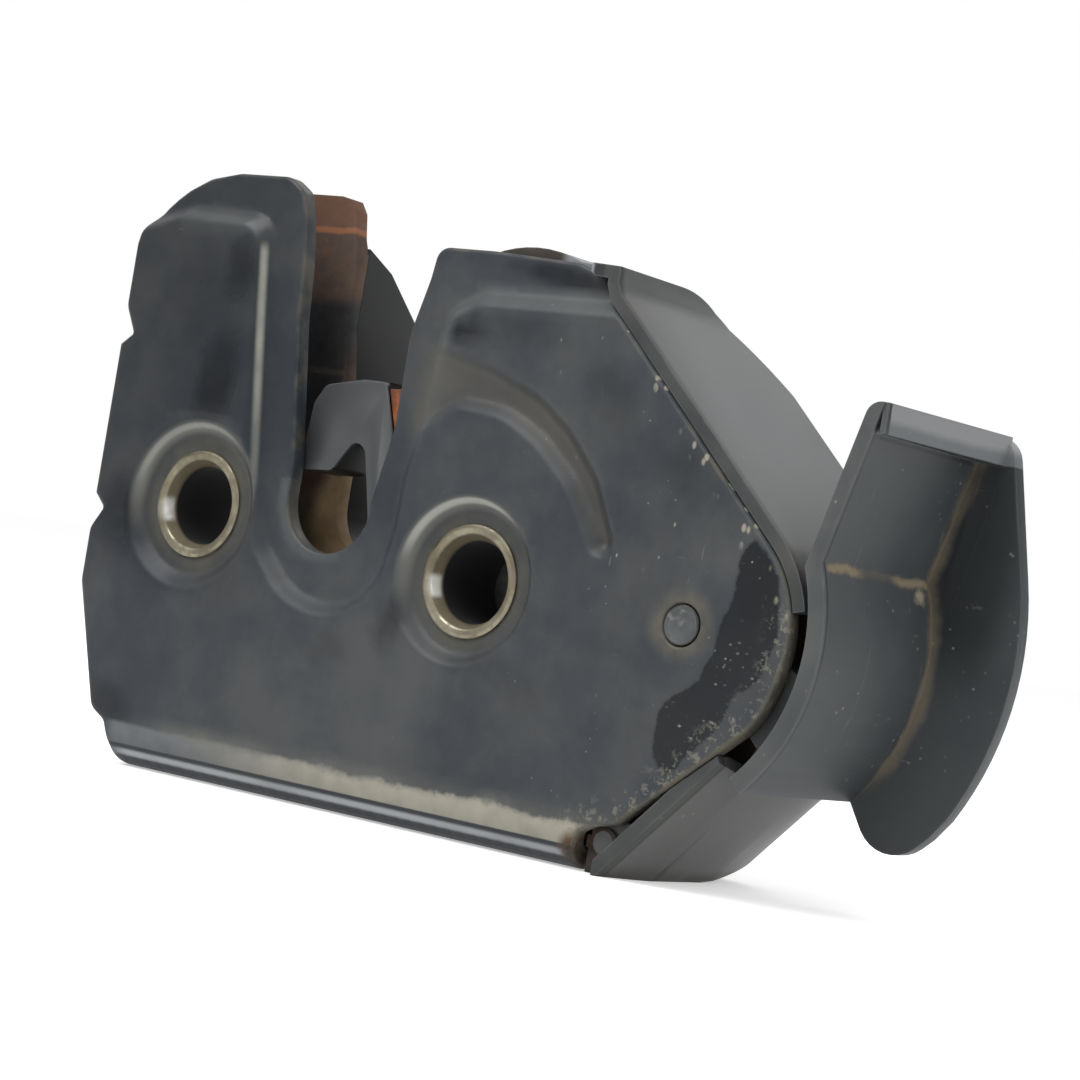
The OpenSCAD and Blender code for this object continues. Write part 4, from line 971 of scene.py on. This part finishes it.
FLOOR_HALF = 6.0  # m
FLOOR_GREY = 0.82
FLOOR_GLOW = 0.42  # seen by the camera and by gloss only, so that the floor fades into the white world
floor = bpy.data.meshes.new("floor")
s = FLOOR_HALF
floor.from_pydata([(-s, -s, 0), (s, -s, 0), (s, s, 0), (-s, s, 0)], [], [(0, 1, 2, 3)])
floor_o = link_object("floor", floor)
floor_o.location = (0, 0, (FLOOR_Z - 0.02) * MM)
m = Mat("floor_white", 0.95, 0.0, 0.0)
rays = m.node("LightPath").outputs
m.set(m.s.inputs["Base Color"], (FLOOR_GREY, FLOOR_GREY, FLOOR_GREY, 1))
m.set(m.s.inputs["Emission Color"], (1, 1, 1, 1))
m.set(m.s.inputs["Emission Strength"], m.mul(m.max(rays["Is Camera Ray"], rays["Is Glossy Ray"]), FLOOR_GLOW))
floor.materials.append(m.m)

# white where the camera sees it; its light grows from below the horizon upwards
world = bpy.data.worlds.new("studio")
world.use_nodes = True
bpy.context.scene.world = world
wt = world.node_tree
bg = wt.nodes["Background"]
lp = wt.nodes.new("ShaderNodeLightPath")
tc = wt.nodes.new("ShaderNodeTexCoord")
sep = wt.nodes.new("ShaderNodeSeparateXYZ")
wt.links.new(tc.outputs["Generated"], sep.inputs[0])
up = wt.nodes.new("ShaderNodeMapRange")
for key, value in (("From Min", -0.1), ("From Max", 0.7), ("To Min", 0.35), ("To Max", 0.75)):
    up.inputs[key].default_value = value
wt.links.new(sep.outputs["Z"], up.inputs["Value"])
cam_mix = wt.nodes.new("ShaderNodeMix")
cam_mix.data_type = "FLOAT"
wt.links.new(lp.outputs["Is Camera Ray"], cam_mix.inputs["Factor"])
wt.links.new(up.outputs["Result"], cam_mix.inputs["A"])
cam_mix.inputs["B"].default_value = 1.0
wt.links.new(cam_mix.outputs["Result"], bg.inputs["Strength"])
bg.inputs["Color"].default_value = (1, 1, 1, 1)


def towards(azimuth, elevation):
    """Unit vector to a viewer at these degrees; azimuth 0 looks at the plate's front."""
    a, e = math.radians(azimuth), math.radians(elevation)
    return Vector((math.sin(a) * math.cos(e), -math.cos(a) * math.cos(e), math.sin(e)))


def area_light(name, azimuth, elevation, distance_m, size, power):
    light = bpy.data.lights.new(name, "AREA")
    light.shape = "RECTANGLE"
    light.size, light.size_y = size
    light.energy = power
    o = link_object(name, light)
    back = towards(azimuth, elevation)
    o.location = Vector((0, 0.008, 0.005)) + back * distance_m
    o.rotation_mode = "QUATERNION"
    o.rotation_quaternion = (-back).to_track_quat("-Z", "Y")


area_light("key", -20, 55, 0.9, (0.7, 0.5), 5.5)
area_light("side", 80, 35, 0.9, (0.5, 0.6), 2.0)
area_light("back", 170, 50, 0.9, (0.6, 0.4), 1.4)

# the camera as solved from the photograph
AZ, EL, ROLL, DIST = 35.5, -1.0, 9.4, 290.0
TARGET = Vector((8.95, -1.2, 5.25)) * MM
FOCAL_PX, FRAME_PX, SENSOR = 2900, 1080, 36
a, r = math.radians(AZ), math.radians(ROLL)
back = towards(AZ, EL)
right0 = Vector((math.cos(a), math.sin(a), 0))
up0 = back.cross(right0)
right = right0 * math.cos(r) + up0 * math.sin(r)
upv = up0 * math.cos(r) - right0 * math.sin(r)
cam_data = bpy.data.cameras.new("camera")
cam_data.lens = FOCAL_PX / FRAME_PX * SENSOR
cam_data.sensor_width = SENSOR
cam_data.clip_start = 0.01
cam_data.clip_end = 50
cam = link_object("camera", cam_data)
pos = TARGET + back * DIST * MM
cam.matrix_world = Matrix((
    (right.x, upv.x, back.x, pos.x), (right.y, upv.y, back.y, pos.y), (right.z, upv.z, back.z, pos.z), (0, 0, 0, 1)))
bpy.context.scene.camera = cam
bpy.context.scene.view_settings.view_transform = "Standard"
